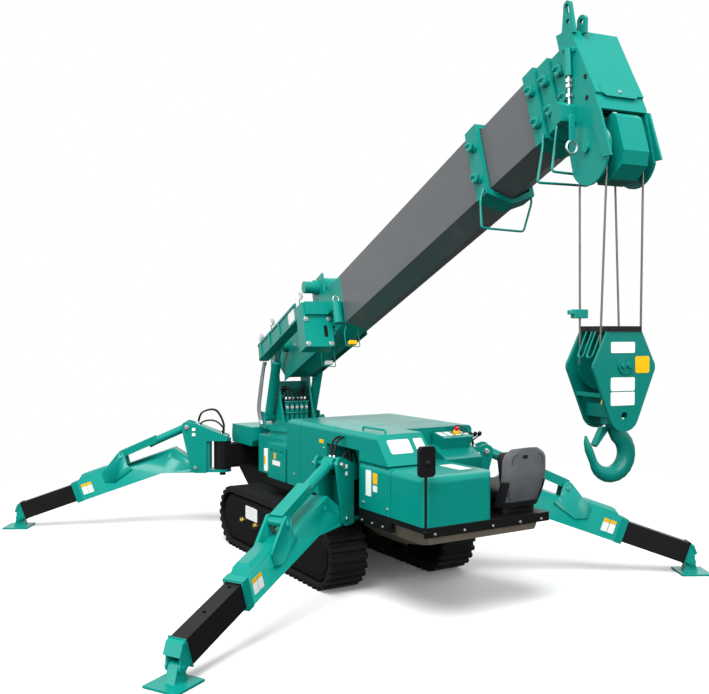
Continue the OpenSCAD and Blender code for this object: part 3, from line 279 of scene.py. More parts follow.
def build(name, parts, finish, body=None):
    """Joins parts into one piece with outward faces and a finish, smooth but for sharp edges, riding on a body."""
    points, faces = joined(*parts)
    corners = np.concatenate([f.ravel() for f in faces]).astype(np.int32)
    sides = np.concatenate([np.full(len(f), f.shape[1]) for f in faces]).astype(np.int32)
    mesh = bpy.data.meshes.new(name)
    mesh.vertices.add(len(points))
    mesh.vertices.foreach_set("co", points.astype(np.float32).ravel())
    mesh.loops.add(len(corners))
    mesh.loops.foreach_set("vertex_index", corners)
    mesh.polygons.add(len(sides))
    mesh.polygons.foreach_set("loop_start", np.concatenate([[0], np.cumsum(sides)[:-1]]).astype(np.int32))
    mesh.update(calc_edges=True)
    mesh.validate()
    shell = bmesh.new()
    shell.from_mesh(mesh)
    bmesh.ops.recalc_face_normals(shell, faces=shell.faces)
    shell.to_mesh(mesh)
    shell.free()
    mesh.shade_smooth()
    mesh.set_sharp_from_angle(angle=SHARP)
    mesh.materials.append(MATERIALS[finish])
    piece = bpy.data.objects.new(name, mesh)
    bpy.context.scene.collection.objects.link(piece)
    if body:
        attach(piece, body)
    return piece


# Settings

def colour(name, text, code):
    """A colour setting whose default is an sRGB hex value."""
    return bpy.props.FloatVectorProperty(
        name=name, description=text, subtype="COLOR", size=4, min=0, max=1, default=linear(code))


def length(name, text, value):
    """A length setting, in metres."""
    return bpy.props.FloatProperty(name=name, description=text, unit="LENGTH", min=0, default=value, precision=4)


class CraneColours(bpy.types.PropertyGroup):
    """Colours of the machine's finishes."""
    enamel: colour("Enamel", "Gloss paint of the covers, legs, tower and head", "#04877b")
    # Hook: the enamel's green made darker, painted shade on the hook, its block, latch, guards and block bolts
    hook: colour("Hook", "Gloss enamel darkened as painted shade on the hook and its block", "#03766b")
    boom: colour("Boom", "Paint of the boom sections", "#5e6163")
    chassis: colour("Chassis", "Satin paint of frame, deck and inner leg boxes", "#121213")
    rubber: colour("Rubber", "Tracks and hoses", "#151516")
    primer: colour("Belly", "Dull paint under the deck", "#6b6458")
    shell: colour("Seat shell", "Moulded back of the seat", "#5f6265")
    vinyl: colour("Seat vinyl", "Cushions of the seat", "#1d1e20")
    steel: colour("Steel", "Rods, ropes and plated bolts", "#c3c6c8")
    rope: colour("Rope", "Greased wire of the hoist rope", "#6c6a66")
    brass: colour("Brass", "Plugs and nipples", "#c6b35e")
    white: colour("White plate", "Blank white plates", "#eef0ee")
    yellow: colour("Yellow plate", "Blank yellow plates", "#f3b60c")
    red: colour("Red knob", "Stop knob", "#c8201c")
    floor: colour("Floor", "Pale studio floor", "#f4f4f4")


class CraneSizes(bpy.types.PropertyGroup):
    """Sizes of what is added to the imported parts."""
    edge: length("Edge", "Rounding of the edges of plates", 0.0025)
    bolt: length("Bolt", "Width across a bolt head", 0.030)
    hose: length("Hose", "Diameter of a hydraulic hose", 0.022)
    rope: length("Rope", "Diameter of the hoist rope", 0.011)
    wire: length("Guard wire", "Diameter of the rope guards' wire", 0.013)
    plate: length("Plate", "Thickness of a glued plate", 0.0016)


# Materials

def feed(tree, node, inputs):
    """Links or sets a node's sockets, each by its name or number."""
    for key, value in inputs.items():
        if isinstance(value, bpy.types.NodeSocket):
            tree.links.new(value, node.inputs[key])
        else:
            node.inputs[key].default_value = value


def add_node(tree, kind, inputs=None, **settings):
    """Adds one node: settings are its attributes, inputs its sockets' links or values."""
    node = tree.nodes.new(kind)
    for key, value in settings.items():
        setattr(node, key, value)
    feed(tree, node, inputs or {})
    return node


class Finish:
    """A material under way: its tree, its shader and its Object coordinates."""

    def __init__(self, name):
        self.material = bpy.data.materials.new(name)
        self.material.use_nodes = True
        self.tree = self.material.node_tree
        self.tree.nodes.clear()
        self.shader = add_node(self.tree, "ShaderNodeBsdfPrincipled")
        self.exit = add_node(self.tree, "ShaderNodeOutputMaterial", {"Surface": self.shader.outputs[0]})
        self.coords = add_node(self.tree, "ShaderNodeTexCoord").outputs["Object"]

    def grain(self, mm, low, high, detail=2.0):
        """Clouds or grain of that size in millimetres, between two values."""
        fog = add_node(self.tree, "ShaderNodeTexNoise", {
            "Vector": self.coords, "Scale": 1 / (mm * MM), "Detail": detail})
        return self.carried(fog.outputs["Fac"], low, high, 0.3, 0.7)

    def carried(self, value, low, high, start, end):
        """A value carried from one range to another."""
        return add_node(self.tree, "ShaderNodeMapRange", {
            "Value": value, "From Min": start, "From Max": end, "To Min": low, "To Max": high}).outputs["Result"]

    def mixed(self, share, a, b, how="MIX"):
        """Two colours mixed by a share. Sockets 6 and 7 of a Mix node are its two colours, output 2 their mix."""
        return add_node(self.tree, "ShaderNodeMix", {0: share, 6: a, 7: b}, data_type="RGBA", blend_type=how).outputs[2]

    def beyond(self, place, distance, axis=0):
        """1 where a point lies beyond a distance along an axis of a place, otherwise 0."""
        direction = place.axes[axis]
        dot = add_node(self.tree, "ShaderNodeVectorMath", {
            0: self.coords, 1: tuple(direction)}, operation="DOT_PRODUCT")
        limit = float(place.origin @ direction) + distance
        return add_node(self.tree, "ShaderNodeMath", {
            0: dot.outputs["Value"], 1: limit}, operation="GREATER_THAN").outputs[0]

    def set(self, colour, rough, bump=None, depth=0.0005, strength=0.1, **sockets):
        """Links or sets the shader's colour, roughness and bump, and sets its other sockets by name."""
        values = {"Base Color": colour, "Roughness": rough, **{k.replace("_", " "): v for k, v in sockets.items()}}
        if bump is not None:
            values["Normal"] = add_node(self.tree, "ShaderNodeBump", {
                "Height": bump, "Strength": strength, "Distance": depth}).outputs["Normal"]
        feed(self.tree, self.shader, values)
        return self.material


def enamel(name, base, second=None, place=None, low=0, high=0, rough=0.3, coat=0.1, axis=0, above=None):
    """Sprayed gloss paint, a second colour of it between two distances along an axis of a place, above a height."""
    f = Finish(name)
    if second:
        inside = add_node(f.tree, "ShaderNodeMath", {
            0: f.beyond(place, low, axis), 1: f.beyond(place, high, axis)}, operation="SUBTRACT").outputs[0]
        if above is not None:
            inside = add_node(f.tree, "ShaderNodeMath", {
                0: inside, 1: f.beyond(place, above, 2)}, operation="MULTIPLY").outputs[0]
        base = f.mixed(inside, base, second)
    # The paint settles in faint clouds and a fine peel, 5 mm across, coarser than life to show
    tone = f.mixed(0.2, base, f.grain(380, 0.75, 1.0), "MULTIPLY")
    return f.set(tone, f.grain(150, rough * 0.92, rough * 1.1, 3.0), f.grain(5, 0, 1), 0.0003, 0.06,
                 Specular_IOR_Level=0.18, Coat_Weight=coat, Coat_Roughness=0.06)


def satin(name, base, rough, cloud=300):
    """Satin or dull paint: soft clouds of dust and a fine grain."""
    f = Finish(name)
    tone = f.mixed(0.45, base, f.grain(cloud, 0.6, 1.0, 4.0), "MULTIPLY")
    return f.set(tone, f.grain(60, rough * 0.85, rough * 1.15, 3.0), f.grain(4, 0, 1), 0.0004, 0.1,
                 Specular_IOR_Level=0.15)


def moulded(name, base, grain, rough, depth=0.0008):
    """Moulded rubber or plastic: a fine grain in its bump, and worn, dusty clouds."""
    f = Finish(name)
    tone = f.mixed(0.5, base, f.grain(90, 0.65, 1.0, 4.0), "MULTIPLY")
    return f.set(tone, f.grain(40, rough * 0.9, rough * 1.1, 3.0), f.grain(grain, 0, 1, 3.0), depth, 0.3,
                 Specular_IOR_Level=0.18)


def bare_metal(name, base, rough, grain):
    """Bare or plated metal, with fine scratches in its roughness."""
    f = Finish(name)
    tone = f.mixed(0.4, base, f.grain(30, 0.72, 1.0, 3.0), "MULTIPLY")
    return f.set(tone, f.grain(grain, rough * 0.7, rough * 1.4), f.grain(grain, 0, 1), 0.0002, 0.08, Metallic=1.0)


# Where finishes change: fifth boom section behind its head and over its rope anchor, block's top, legs' end plates
HEAD_BACK, ANCHOR_TOP, BLOCK_TOP, LEG_END = 0.086, -0.185, 0.1595, 0.098


def make_materials(c):
    """Makes all finishes of the machine."""
    MATERIALS.update({
        # Two-pack enamel, sprayed: a clear highlight over a saturated colour
        "enamel": enamel("gloss_enamel", c.enamel),
        # The hook's finish: the same enamel in a darker green, painted shade
        "hook": enamel("hook_painted_shade_enamel", c.hook),
        # Chassis paint: satin black that takes dust
        "chassis": satin("satin_black_paint", c.chassis, 0.4),
        "boom": enamel("boom_paint", c.boom, rough=0.4, coat=0.05),
        "primer": satin("dull_primer", c.primer, 0.6, 160),
        "iron": satin("engine_grey_paint", linear("#4a4c4e"), 0.6, 80),
        # Vulcanised rubber: dull, with a grain that catches dust
        "rubber": moulded("track_rubber", c.rubber, 6, 0.7),
        "hose": moulded("hose_rubber", c.rubber, 4, 0.48, 0.0005),
        # Hoses beside the tower in light grey: a painted highlight, the sheen of black rubber hoses made their colour
        "wrap": moulded("hose_painted_sheen", linear("#85898d"), 8, 0.45, 0.001),
        # Rotomoulded shell and vinyl of the seat
        "shell": moulded("grained_plastic", c.shell, 4, 0.5, 0.0005),
        "vinyl": moulded("seat_vinyl", c.vinyl, 5, 0.52, 0.0006),
        # Hard chrome on rods, zinc on bolts, greased wire on ropes
        "chrome": bare_metal("hard_chrome", c.steel, 0.12, 3),
        "zinc": bare_metal("zinc_plate", c.steel, 0.35, 3),
        "rope": bare_metal("greased_wire", c.rope, 0.45, 3),
        "brass": bare_metal("brass", c.brass, 0.3, 3),
        # Powder-coated plates and gloss plastic: even colour under a clear highlight
        "white": enamel("white_plate", c.white, rough=0.35, coat=0.2),
        "yellow": enamel("yellow_plate", c.yellow, rough=0.35, coat=0.2),
        "red": enamel("red_plastic", c.red, rough=0.3, coat=0.3),
        "glass": bare_metal("mirror_glass", linear("#dfe4e6"), 0.03, 60),
    })
    # Boom sections are grey up to their collars, the base from its housing on
    for name, (deep, _) in COLLARS.items():
        start = BOOM.extent("side_housing")[1][0] if name == "boom_base" else 0
        end = BOOM.extent(name)[1][0] - deep - MM
        MATERIALS[name] = enamel(name + "_paint", c.enamel, c.boom, BOOM, start, end, 0.38, 0.06)
    end = BOOM.extent("boom_fourth")[1][0] - HEAD_BACK
    MATERIALS["boom_head"] = enamel("boom_head_paint", c.enamel, c.boom, BOOM, 0, end, 0.34, 0.08, above=ANCHOR_TOP)
    # Hook block: the darker green of painted shade, with the rubber colour over its top
    MATERIALS["hook_block"] = enamel("hook_block_painted_shade_paint", c.hook, c.rubber, HANG, BLOCK_PIN + BLOCK_TOP, 0, axis=2)
    for leg in LEGS:
        name, place = "inner_" + leg, box_place(leg)
        end = place.extent(name)[1][0] - LEG_END
        MATERIALS[name] = enamel(name + "_paint", c.enamel, c.chassis, place, -1, end, 0.38, 0.05)


class CRANE_OT_finishes(bpy.types.Operator):
    """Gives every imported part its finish, and rounds the edges of its plates"""
    bl_idname = "crane.finishes"
    bl_label = "Finishes"

    BY_SLOT = {
        "green": "enamel", "black": "chassis", "rubber": "rubber", "boom_grey": "boom", "steel": "chrome",
        "iron": "iron", "belly": "primer", "seat": "vinyl",
    }
    # Distance within which loose corners are one, and angle from which an edge is rounded
    SAME, ROUNDED_FROM = 0.00002, math.radians(25)

    def execute(self, context):
        make_materials(context.scene.crane_colours)
        for part in frame["record"]["subparts"]:
            name = part["node"]
            node = frame["nodes"][name]
            node.data.materials.clear()
            node.data.materials.append(MATERIALS[name if name in MATERIALS else self.BY_SLOT[part["material_slot"]]])
            node.data.shade_smooth()
            join = node.modifiers.new("Join", "WELD")
            join.merge_threshold = self.SAME
            edge = node.modifiers.new("Edge", "BEVEL")
            edge.width = context.scene.crane_sizes.edge
            edge.segments = 2
            edge.limit_method = "ANGLE"
            edge.angle_limit = self.ROUNDED_FROM
            edge.harden_normals = True
            # The largest faces alone say which way their corners look, so flat plates stay flat to the eye
            flat = node.modifiers.new("Flat", "WEIGHTED_NORMAL")
            flat.weight = 100
            flat.keep_sharp = True
        return {"FINISHED"}


class CRANE_OT_ropes(bpy.types.Operator):
    """Lays the four stranded falls of the hoist rope, and the weight of the top switch on one of them"""
    bl_idname = "crane.ropes"
    bl_label = "Ropes"

    # Height of a step along the rope, strands in it, and the diameters in which they turn once
    STEP, STRANDS, LAY = 0.006, 6, 7
    # Switch weight: how far behind its fall it stands, and over the block's sheave axis
    SWITCH_BACK, SWITCH_RISE = 0.006, 0.212

    def strand(self, foot, head, diameter):
        """A laid rope: its radius ripples with its strands, which turn as they climb."""
        share, turn = grid(np.linspace(0, 1, int((head[2] - foot[2]) / self.STEP)), circle(30))
        middle = foot + share[..., None] * (head - foot)
        lay = self.STRANDS / 2 * (turn - 2 * math.pi * middle[..., 2] / (self.LAY * diameter))
        r = diameter / 2 * (0.84 + 0.16 * np.abs(np.cos(lay)))
        return capped(HANG.out(middle + np.stack([r * np.cos(turn), r * np.sin(turn), 0 * turn], -1)))

    def execute(self, context):
        d = context.scene.crane_sizes.rope
        low, high = HANG.extent("ropes")
        # The falls' middle lines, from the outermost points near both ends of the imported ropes
        foot = HANG.extent("ropes", below=low[2] + 0.02)[1] - (d / 2, d / 2, 0)
        head = HANG.extent("ropes", above=high[2] - 0.02)[1] - (d / 2, d / 2, 0)
        foot[2], head[2] = low[2], high[2]
        falls = [self.strand(foot * (a, b, 1), head * (a, b, 1), d) for a in SIDES for b in SIDES]
        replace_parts(build("rope_falls", falls, "rope", "hook_block"), "ropes")
        # Switch weight: a clamped box with its tab, on the fall nearest the rear
        weight = HANG.at((-foot[0] - self.SWITCH_BACK, -foot[1], BLOCK_PIN + self.SWITCH_RISE))
        body = slab(rounded(0.036, 0.082, 0.006), 0.012, 0.056, weight, 0.003)
        tab = slab(rounded(0.034, 0.07, 0.012, (0, -0.03)), 0.030, 0.052, weight, 0.003)
        build("switch_weight", [body, tab], "enamel", "hook_block")
        return {"FINISHED"}


class CRANE_OT_seat(bpy.types.Operator):
    """Makes the driver's seat: moulded shell with wings, two vinyl cushions with piping, and its box"""
    bl_idname = "crane.seat"
    bl_label = "Seat"

    # Wings: a lower band and two sides that stop short of half the height, as shares across and up the shell
    WINGS = (((-1.0, 1.0), (0, 0.1)), ((-1.0, -0.76), (0.1, 0.46)), ((0.76, 1.0), (0.1, 0.46)))
    SHELL_WALL, WING_WALL, RIM = 0.012, 0.018, 0.004
    SEAM, PIPING = 0.0028, 0.0042

    def shell(self, u, v, half, tall, out=0.0):
        """Back shell over u across and v up: straight sides, round shoulders, wrapping forwards with |u| to the 4th."""
        wide = half * (0.97 + 0.03 * np.sin(math.pi * v)) * (1 - 0.42 * np.clip((v - 0.78) / 0.22, 0, 1) ** 3)
        x = 0.075 - 0.075 * np.sin(math.pi * np.clip(v, 0, 0.62) / 1.24) + 0.04 * np.maximum(v - 0.6, 0) ** 1.5
        x = x + 0.075 * np.abs(u) ** 4 * (1 - 0.5 * v) - out
        z = 0.10 * tall + (0.90 * tall - 0.014) * v + 0.014 * (1 - np.abs(u) ** 3) * v ** 8
        return np.stack([x, (wide + out) * u, z], -1)

    def patch(self, seat, half, tall, us, vs, out):
        """One stretch of the shell, between two shares across and two shares up, set off behind it."""
        v, u = grid(np.linspace(*vs, 36), np.linspace(*us, 36))
        return lattice(seat.out(self.shell(u, v, half, tall, out)))

    def walled(self, piece, thickness):
        """Gives a sheet its thickness, half to each side, and a round rim."""
        wall = piece.modifiers.new("Wall", "SOLIDIFY")
        wall.thickness, wall.offset = thickness, 0
        rim = piece.modifiers.new("Rim", "BEVEL")
        rim.width, rim.segments, rim.limit_method = self.RIM, 3, "ANGLE"
        return piece

    def trim(self, name, loop, radius, finish):
        """A thin bar round a closed loop of points."""
        build(name, [tube(np.concatenate([loop, loop[:1]]), radius, 8)], finish, "chassis")

    def execute(self, context):
        low, high = CHASSIS.extent("seat")
        deep, tall, half = high[0] - low[0], high[2] - low[2], (high[1] - low[1]) / 2
        seat = CHASSIS.at((low[0], (low[1] + high[1]) / 2, low[2]))
        back = self.patch(seat, half, tall, (-1, 1), (0, 1), 0)
        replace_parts(self.walled(build("seat_shell", [back], "shell", "chassis"), self.SHELL_WALL), "seat")
        wings = [self.patch(seat, half, tall, us, vs, 0.004) for us, vs in self.WINGS]
        self.walled(build("seat_wings", wings, "vinyl", "chassis"), self.WING_WALL)
        # Seam of the shell's back, and a black plate as painted shade in the recess of its handle
        line = rounded(1.40, 0.76, 0.12, (0, 0.52), 9)
        self.trim("seat_seam", seat.out(self.shell(line[:, 0], line[:, 1], half, tall, 0.006)), self.SEAM, "vinyl")
        grip = seat.facing(self.shell(np.array(0.15), np.array(0.87), half, tall, 0.0065), -1)
        build("seat_grip_recess_shade", [slab(rounded(0.045, 0.026, 0.006), -0.001, 0.002, grip)], "hose", "chassis")
        # Cushions stand clear of the shell by their crown
        pan = seat.at((deep * 0.56, 0, 0.30 * tall), (0.996, 0, 0.09))
        back = seat.at((deep * 0.245, 0, 0.64 * tall), (0.16, 0, 0.987), (1, 0, -0.16))
        for name, place, size, crown in (("seat_cushion", pan, (deep * 0.41, half * 0.94, 0.042), 0.014),
                                         ("back_cushion", back, (tall * 0.27, half * 0.80, 0.034), 0.012)):
            points, faces = pillow(size, crown)
            build(name, [(place.out(points), faces)], "vinyl", "chassis")
            line = rounded(size[0] * 1.955, size[1] * 1.955, min(size[:2]) * 0.36, steps=9)
            loop = place.out(np.column_stack([line, np.full(len(line), size[2] * 0.42)]))
            self.trim(name + "_piping", loop, self.PIPING, "hose")
        box = slab(rounded(deep * 0.66, half * 1.5, 0.03), 0.0, 0.19 * tall, seat.at((deep * 0.52, 0, 0)), 0.004)
        # Bellows under the pan: a rounded outline that ripples with height
        h, turn = grid(np.linspace(0.02, 0.2, 40) * tall, circle(60))
        ripple = 1 + 0.05 * np.cos(2 * math.pi * h / (0.045 * tall))
        form = (np.abs(np.cos(turn)) ** 4 + np.abs(np.sin(turn)) ** 4) ** -0.25 * ripple
        bellows = capped(seat.out(np.stack([
            deep * (0.52 + 0.35 * form * np.cos(turn)), half * 0.8 * form * np.sin(turn), h], -1)))
        build("seat_box", [box, bellows], "hose", "chassis")
        return {"FINISHED"}


class CRANE_OT_bolts(bpy.types.Operator):
    """Sets painted bolts on collars, head, hook block and slewing ring, and plated ones on covers, housing, tower, deck
    and legs
    """
    bl_idname = "crane.bolts"
    bl_label = "Bolts"

    # Wear pad of a collar, as radius and height, and its two bolts across it
    PAD = ((0.031, -0.002), (0.031, 0.006), (0.028, 0.008), (0.016, 0.008), (0.014, 0.005), (0.001, 0.005))
    PAD_BOLTS = ((-0.017, 0.019, 0.006), (0.013, -0.022, 0.006))
    # Along the boom and above it
    HEAD = ((4.73, 0.13), (4.80, 0.08))
    # Along and up: cheeks of the tower, sides of the bay and the cover
    TOWER_CHEEK, TOWER_BOLTS = 0.165, ((-0.25, 1.36), (-0.12, 1.36), (-0.22, 1.56))
    BAY = ((-1.62, 0.75), (-1.94, 0.75))
    COVER = ((-0.83, 0.94), (-0.98, 0.80), (-0.50, 0.80), (-1.02, 1.08))
    # Slewing ring: radius and height of its bolts
    RING = (0.282, 1.101)
    # Deck: along its left edge, and across its rear lip
    DECK_EDGE, DECK_REAR = (-1.60, -1.74, -1.88), (0.45, 0.2, -0.05, -0.3, -0.5)
    # Knuckles: outwards, up, and how deep the head is sunk to clear the deck
    KNUCKLE = ((0.262, 0.616, 0.011), (0.350, 1.030, 0))

    def put(self, name, body, finish, size, spots):
        """Equal bolts at many places, standing along each place's z."""
        build(name, [copies(bolt(size), spots)], finish, body)

    def execute(self, context):
        size = context.scene.crane_sizes.bolt
        for name, (deep, tall) in COLLARS.items():
            end, wide = BOOM.extent(name)[1][:2]
            pads = [BOOM.beside((end - deep * 0.53, side * wide, k * tall / 2), side) for side in SIDES for k in SIDES]
            build(name + "_pads", [copies(turned(self.PAD), pads)], "enamel", name)
            self.put(name + "_bolts", name, "enamel", size * 0.7, [p.at(spot) for p in pads for spot in self.PAD_BOLTS])
        wide = BOOM.extent("boom_head", above=0.0)[1][1]
        self.put("head_bolts", "boom_head", "enamel", size * 0.75, [
            BOOM.beside((s, side * wide, n), side) for side in SIDES for s, n in self.HEAD])
        self.put("flap_bolt", "boom_head", "zinc", size * 0.6, [FLAP])
        # Housing: the corners of its front plate
        across = (BOOM.extent("side_housing")[0][1] + 0.025, -0.185)
        self.put("housing_bolts", "boom_base", "zinc", size, [
            BOOM.facing((HOUSING_FRONT, y, n)) for y in across for n in (-0.305, -0.095)])
        # Bolts of the block in the hook's darker green of painted shade
        self.put("block_bolts", "hook_block", "hook", size * 0.8, [
            HANG.facing((side * (BLOCK_FACE + 0.007), y, BLOCK_PIN), side) for side in SIDES for y in (-0.018, 0.018)])
        self.put("tower_bolts", "tower", "zinc", size * 0.5, [
            TOWER.beside((x, side * self.TOWER_CHEEK, z), side) for side in SIDES for x, z in self.TOWER_BOLTS])
        radius, height = self.RING
        self.put("ring_bolts", "tower", "enamel", size * 0.6, [
            TOWER.at((radius * math.cos(a), radius * math.sin(a), height)) for a in np.arange(16) * math.pi / 8])
        low, high = CHASSIS.extent("deck")
        edge = [CHASSIS.beside((x, high[1], high[2] - 0.085)) for x in self.DECK_EDGE]
        rear = [CHASSIS.facing((low[0], y, high[2] - 0.045), -1) for y in self.DECK_REAR]
        self.put("deck_bolts", "chassis", "zinc", size * 0.5, edge + rear)
        for name, node, share, spots in (("bay_bolts", "engine_bay", 0.6, self.BAY),
                                         ("cover_bolts", "body_cover", 0.5, self.COVER)):
            left = CHASSIS.extent(node)[1][1]
            self.put(name, "chassis", "zinc", size * share, [CHASSIS.beside((x, left, z)) for x, z in spots])
        for leg in LEGS:
            place = leg_place(leg)
            wide = place.extent("knuckle_" + leg)[1][1]
            self.put("knuckle_bolts_" + leg, "knuckle_" + leg, "zinc", size * 1.1, [
                place.beside((x, side * (wide - sunk), z), side) for side in SIDES for x, z, sunk in self.KNUCKLE])
        return {"FINISHED"}


class CRANE_OT_plates(bpy.types.Operator):
    """Puts the blank white and yellow plates on hook block, covers, tracks, tray, panel and legs"""
    bl_idname = "crane.plates"
    bl_label = "Blank plates"

    # Sloping tops of the tail and of the control panel: which way they face
    TAIL_FACES, PANEL_FACES = (-0.768, 0, 0.640), (-0.189, 0, 0.982)

    def execute(self, context):
        thick = context.scene.crane_sizes.plate

        def plates(name, body, colour, *spots):
            """Rounded plates, each a place and a width and height along the place's x and y."""
            parts = [slab(rounded(w, h, min(w, h) * 0.12), 0, thick, place, thick * 0.3) for place, w, h in spots]
            build(name, parts, colour, body)

        def face(y, z, side=1):
            """A place on a broad face of the hook block."""
            return HANG.at((side * BLOCK_FACE, y, BLOCK_PIN + z), (0, side, 0), (side, 0, 0))

        def flank(node, x, z):
            """A place on the left side of one of the chassis' parts."""
            return CHASSIS.at((x, CHASSIS.extent(node)[1][1], z), (-1, 0, 0), (0, 1, 0))

        plates("block_white_plates", "hook_block", "white",
               (face(-0.012, 0.085), 0.14, 0.052), (face(-0.012, -0.088), 0.14, 0.064),
               (face(-0.012, -0.157), 0.14, 0.064), (face(0, -0.1, -1), 0.13, 0.056))
        plates("block_yellow_plate", "hook_block", "yellow", (face(0.103, 0.003), 0.084, 0.080))
        plates("bay_white_plates", "chassis", "white",
               (flank("engine_bay", -1.69, 0.90), 0.075, 0.19), (flank("engine_bay", -1.78, 0.87), 0.055, 0.045))
        plates("bay_yellow_plate", "chassis", "yellow", (flank("engine_bay", -1.78, 0.945), 0.06, 0.08))
        plates("cover_plate", "chassis", "yellow", (flank("body_cover", -0.98, 1.13), 0.07, 0.03))
        slope = [CHASSIS.at((-1.85, y, 1.174), (0, -1, 0), self.TAIL_FACES) for y in (0.36, 0.185)]
        plates("tail_plates", "chassis", "white", (slope[0], 0.19, 0.12), (slope[1], 0.08, 0.12))
        plates("power_plates", "chassis", "white", (flank("power_box", -0.155, 0.845), 0.15, 0.042))
        plates("power_yellow_plate", "chassis", "yellow", (flank("power_box", -0.125, 0.905), 0.04, 0.055))
        lid = CHASSIS.extent("engine_hood")[1][2]
        plates("hood_plate", "engine_hood", "white", (CHASSIS.at((-2.13, 0.07, lid)), 0.24, 0.12))
        plates("track_plates", "chassis", "white", (flank("track_frames", 0.07, 0.37), 0.25, 0.118))
        tray = BOOM.extent("side_housing")[0][1]
        plates("tray_plate", "boom_base", "white", (BOOM.beside((1.08, tray, 0.02), -1), 0.16, 0.10))
        for leg in LEGS:
            # Pairs on both sides of the box's end, white ones under yellow ones
            place = box_place(leg)
            end = place.extent("leg_" + leg)[1][0]
            for colour, height, tall in (("white", 0.151, 0.078), ("yellow", 0.206, 0.028)):
                pair = [place.beside((end - back, s * 0.075, height), s) for s in SIDES for back in (0.115, 0.172)]
                plates("leg_" + colour + "_plates_" + leg, "leg_" + leg, colour, *((q, 0.052, tall) for q in pair))
            place = leg_place(leg)
            wide = place.extent("knuckle_" + leg)[1][1]
            tags = [place.at((0.278, s * wide, z), (s, 0, 0), (0, s, 0)) for s in SIDES for z in (1.008, 0.955)]
            plates("knuckle_plates_" + leg, "knuckle_" + leg, "white", *((q, 0.034, 0.030) for q in tags))
        panel = [CHASSIS.at((-1.665, y, 1.2126), (0, -1, 0), self.PANEL_FACES) for y in (-0.36, -0.29, -0.22, -0.15)]
        plates("panel_plates", "chassis", "white", *((place, 0.05, 0.09) for place in panel))
        return {"FINISHED"}


class CRANE_OT_hoses(bpy.types.Operator):
    """Runs the hydraulic hoses of the legs, the tower and the boom foot, with their crimped ends"""
    bl_idname = "crane.hoses"
    bl_label = "Hoses"

    # A leg's two high loops: outwards, share of the loop's place across, up; and its low loop
    HIGH = np.array([(0.02, 1, 0.932), (-0.01, 1, 1.04), (0.07, 1.2, 1.19), (0.21, 1.1, 1.17), (0.262, 1, 1.045)])
    ACROSS = (-0.045, -0.012)
    LOW = ((0.02, 0.030, 0.932), (-0.02, 0.036, 1.00), (0.06, 0.046, 1.085), (0.17, 0.046, 1.09), (0.25, 0.036, 1.035))

    def hose(self, path, diameter):
        """A hose: a round bar along a curve, with turned ferrules at its two ends."""
        ends = [Place(path[k], path[j] - path[k], (0.3, 0.5, 0.8)) for k, j in ((0, 2), (-1, -3))]
        r = diameter / 2
        crimp = turned([(r * 0.9, -0.006), (r * 1.35, -0.004), (r * 1.35, 0.03), (r * 1.05, 0.034)], sides=16)
        stand = [Place(e.origin, np.cross(e.axes[0], e.axes[1]), e.axes[0]) for e in ends]
        return tube(path, r), copies(crimp, stand)

    def lay(self, name, body, place, routes, diameter, finish="hose"):
        """Hoses along several routes of a place, as one piece, and all their ends as another."""
        hoses, ends = zip(*(self.hose(curve(place.out(route), 48), diameter) for route in routes))
        build(name, hoses, finish, body)
        build(name + "_ends", ends, "zinc", body)

    def execute(self, context):
        d = context.scene.crane_sizes.hose
        for leg in LEGS:
            routes = [*(self.HIGH * (1, y, 1) for y in self.ACROSS), self.LOW]
            self.lay("leg_hoses_" + leg, "knuckle_" + leg, leg_place(leg), routes, d * 0.8)
        # Over the valve block: up, apart and onto the inner faces of the cheeks, under the lowered boom
        inside = [[(-0.08, side * (0.024 + 0.036 * k), 1.335), (-0.055 - 0.01 * k, side * (0.026 + 0.036 * k), 1.40),
                   (-0.08 - 0.01 * k, side * (0.060 + 0.02 * k), 1.45 - 0.012 * k),
                   (-0.13 - 0.01 * k, side * 0.112, 1.465 - 0.03 * k),
                   (-0.16 - 0.01 * k, side * 0.126, 1.44 - 0.04 * k)] for side in SIDES for k in range(3)]
        self.lay("tower_hoses", "tower", TOWER, inside, d * 0.8)
        # Beside the right cheek: up from the ring to the boom foot
        outside = [[(-0.27 + 0.03 * k, -0.30, 1.10), (-0.30 + 0.03 * k, -0.315, 1.24), (-0.26 + 0.03 * k, -0.31, 1.42),
                    (-0.21 + 0.025 * k, -0.30, 1.60), (-0.15 + 0.02 * k, -0.295, 1.71)] for k in range(3)]
        # In light grey, a painted highlight of their sheen
        self.lay("cheek_hoses", "tower", TOWER, outside, d, "wrap")
        return {"FINISHED"}


class CRANE_OT_valves(bpy.types.Operator):
    """Dresses the tower's valve block with its bank of spools, their pipes and caps"""
    bl_idname = "crane.valves"
    bl_label = "Valves"

    # How far the pipes run inside the block's sides, and stand off its front
    INSET, OFF = 0.012, 0.045

    def execute(self, context):
        low, high = TOWER.extent("valve_block")
        front, right, left = high[0], low[1] + self.INSET, high[1] - self.INSET
        across = np.linspace(low[1] + 0.03, high[1] - 0.03, 5)
        spots = [TOWER.facing((front, y, z)) for y in across for z in (low[2] + 0.06, high[2] - 0.075)]
        spools = copies(slab(rounded(0.036, 0.085, 0.006), -0.002, 0.030, edge=0.003), spots)
        pipes = [tube(TOWER.out(bent([(front, right, z), (front + self.OFF, right, z), (front + self.OFF, left, z),
                                      (front, left, z)], 0.02)), 0.008)
                 for z in (high[2] - 0.02, high[2] - 0.125, low[2] + self.INSET)]
        build("valve_spools", [spools, *pipes], "enamel", "tower")
        caps = [TOWER.facing((front + 0.030, y, high[2] - 0.075)) for y in across]
        build("valve_caps", [copies(bolt(0.022), caps)], "zinc", "tower")
        return {"FINISHED"}


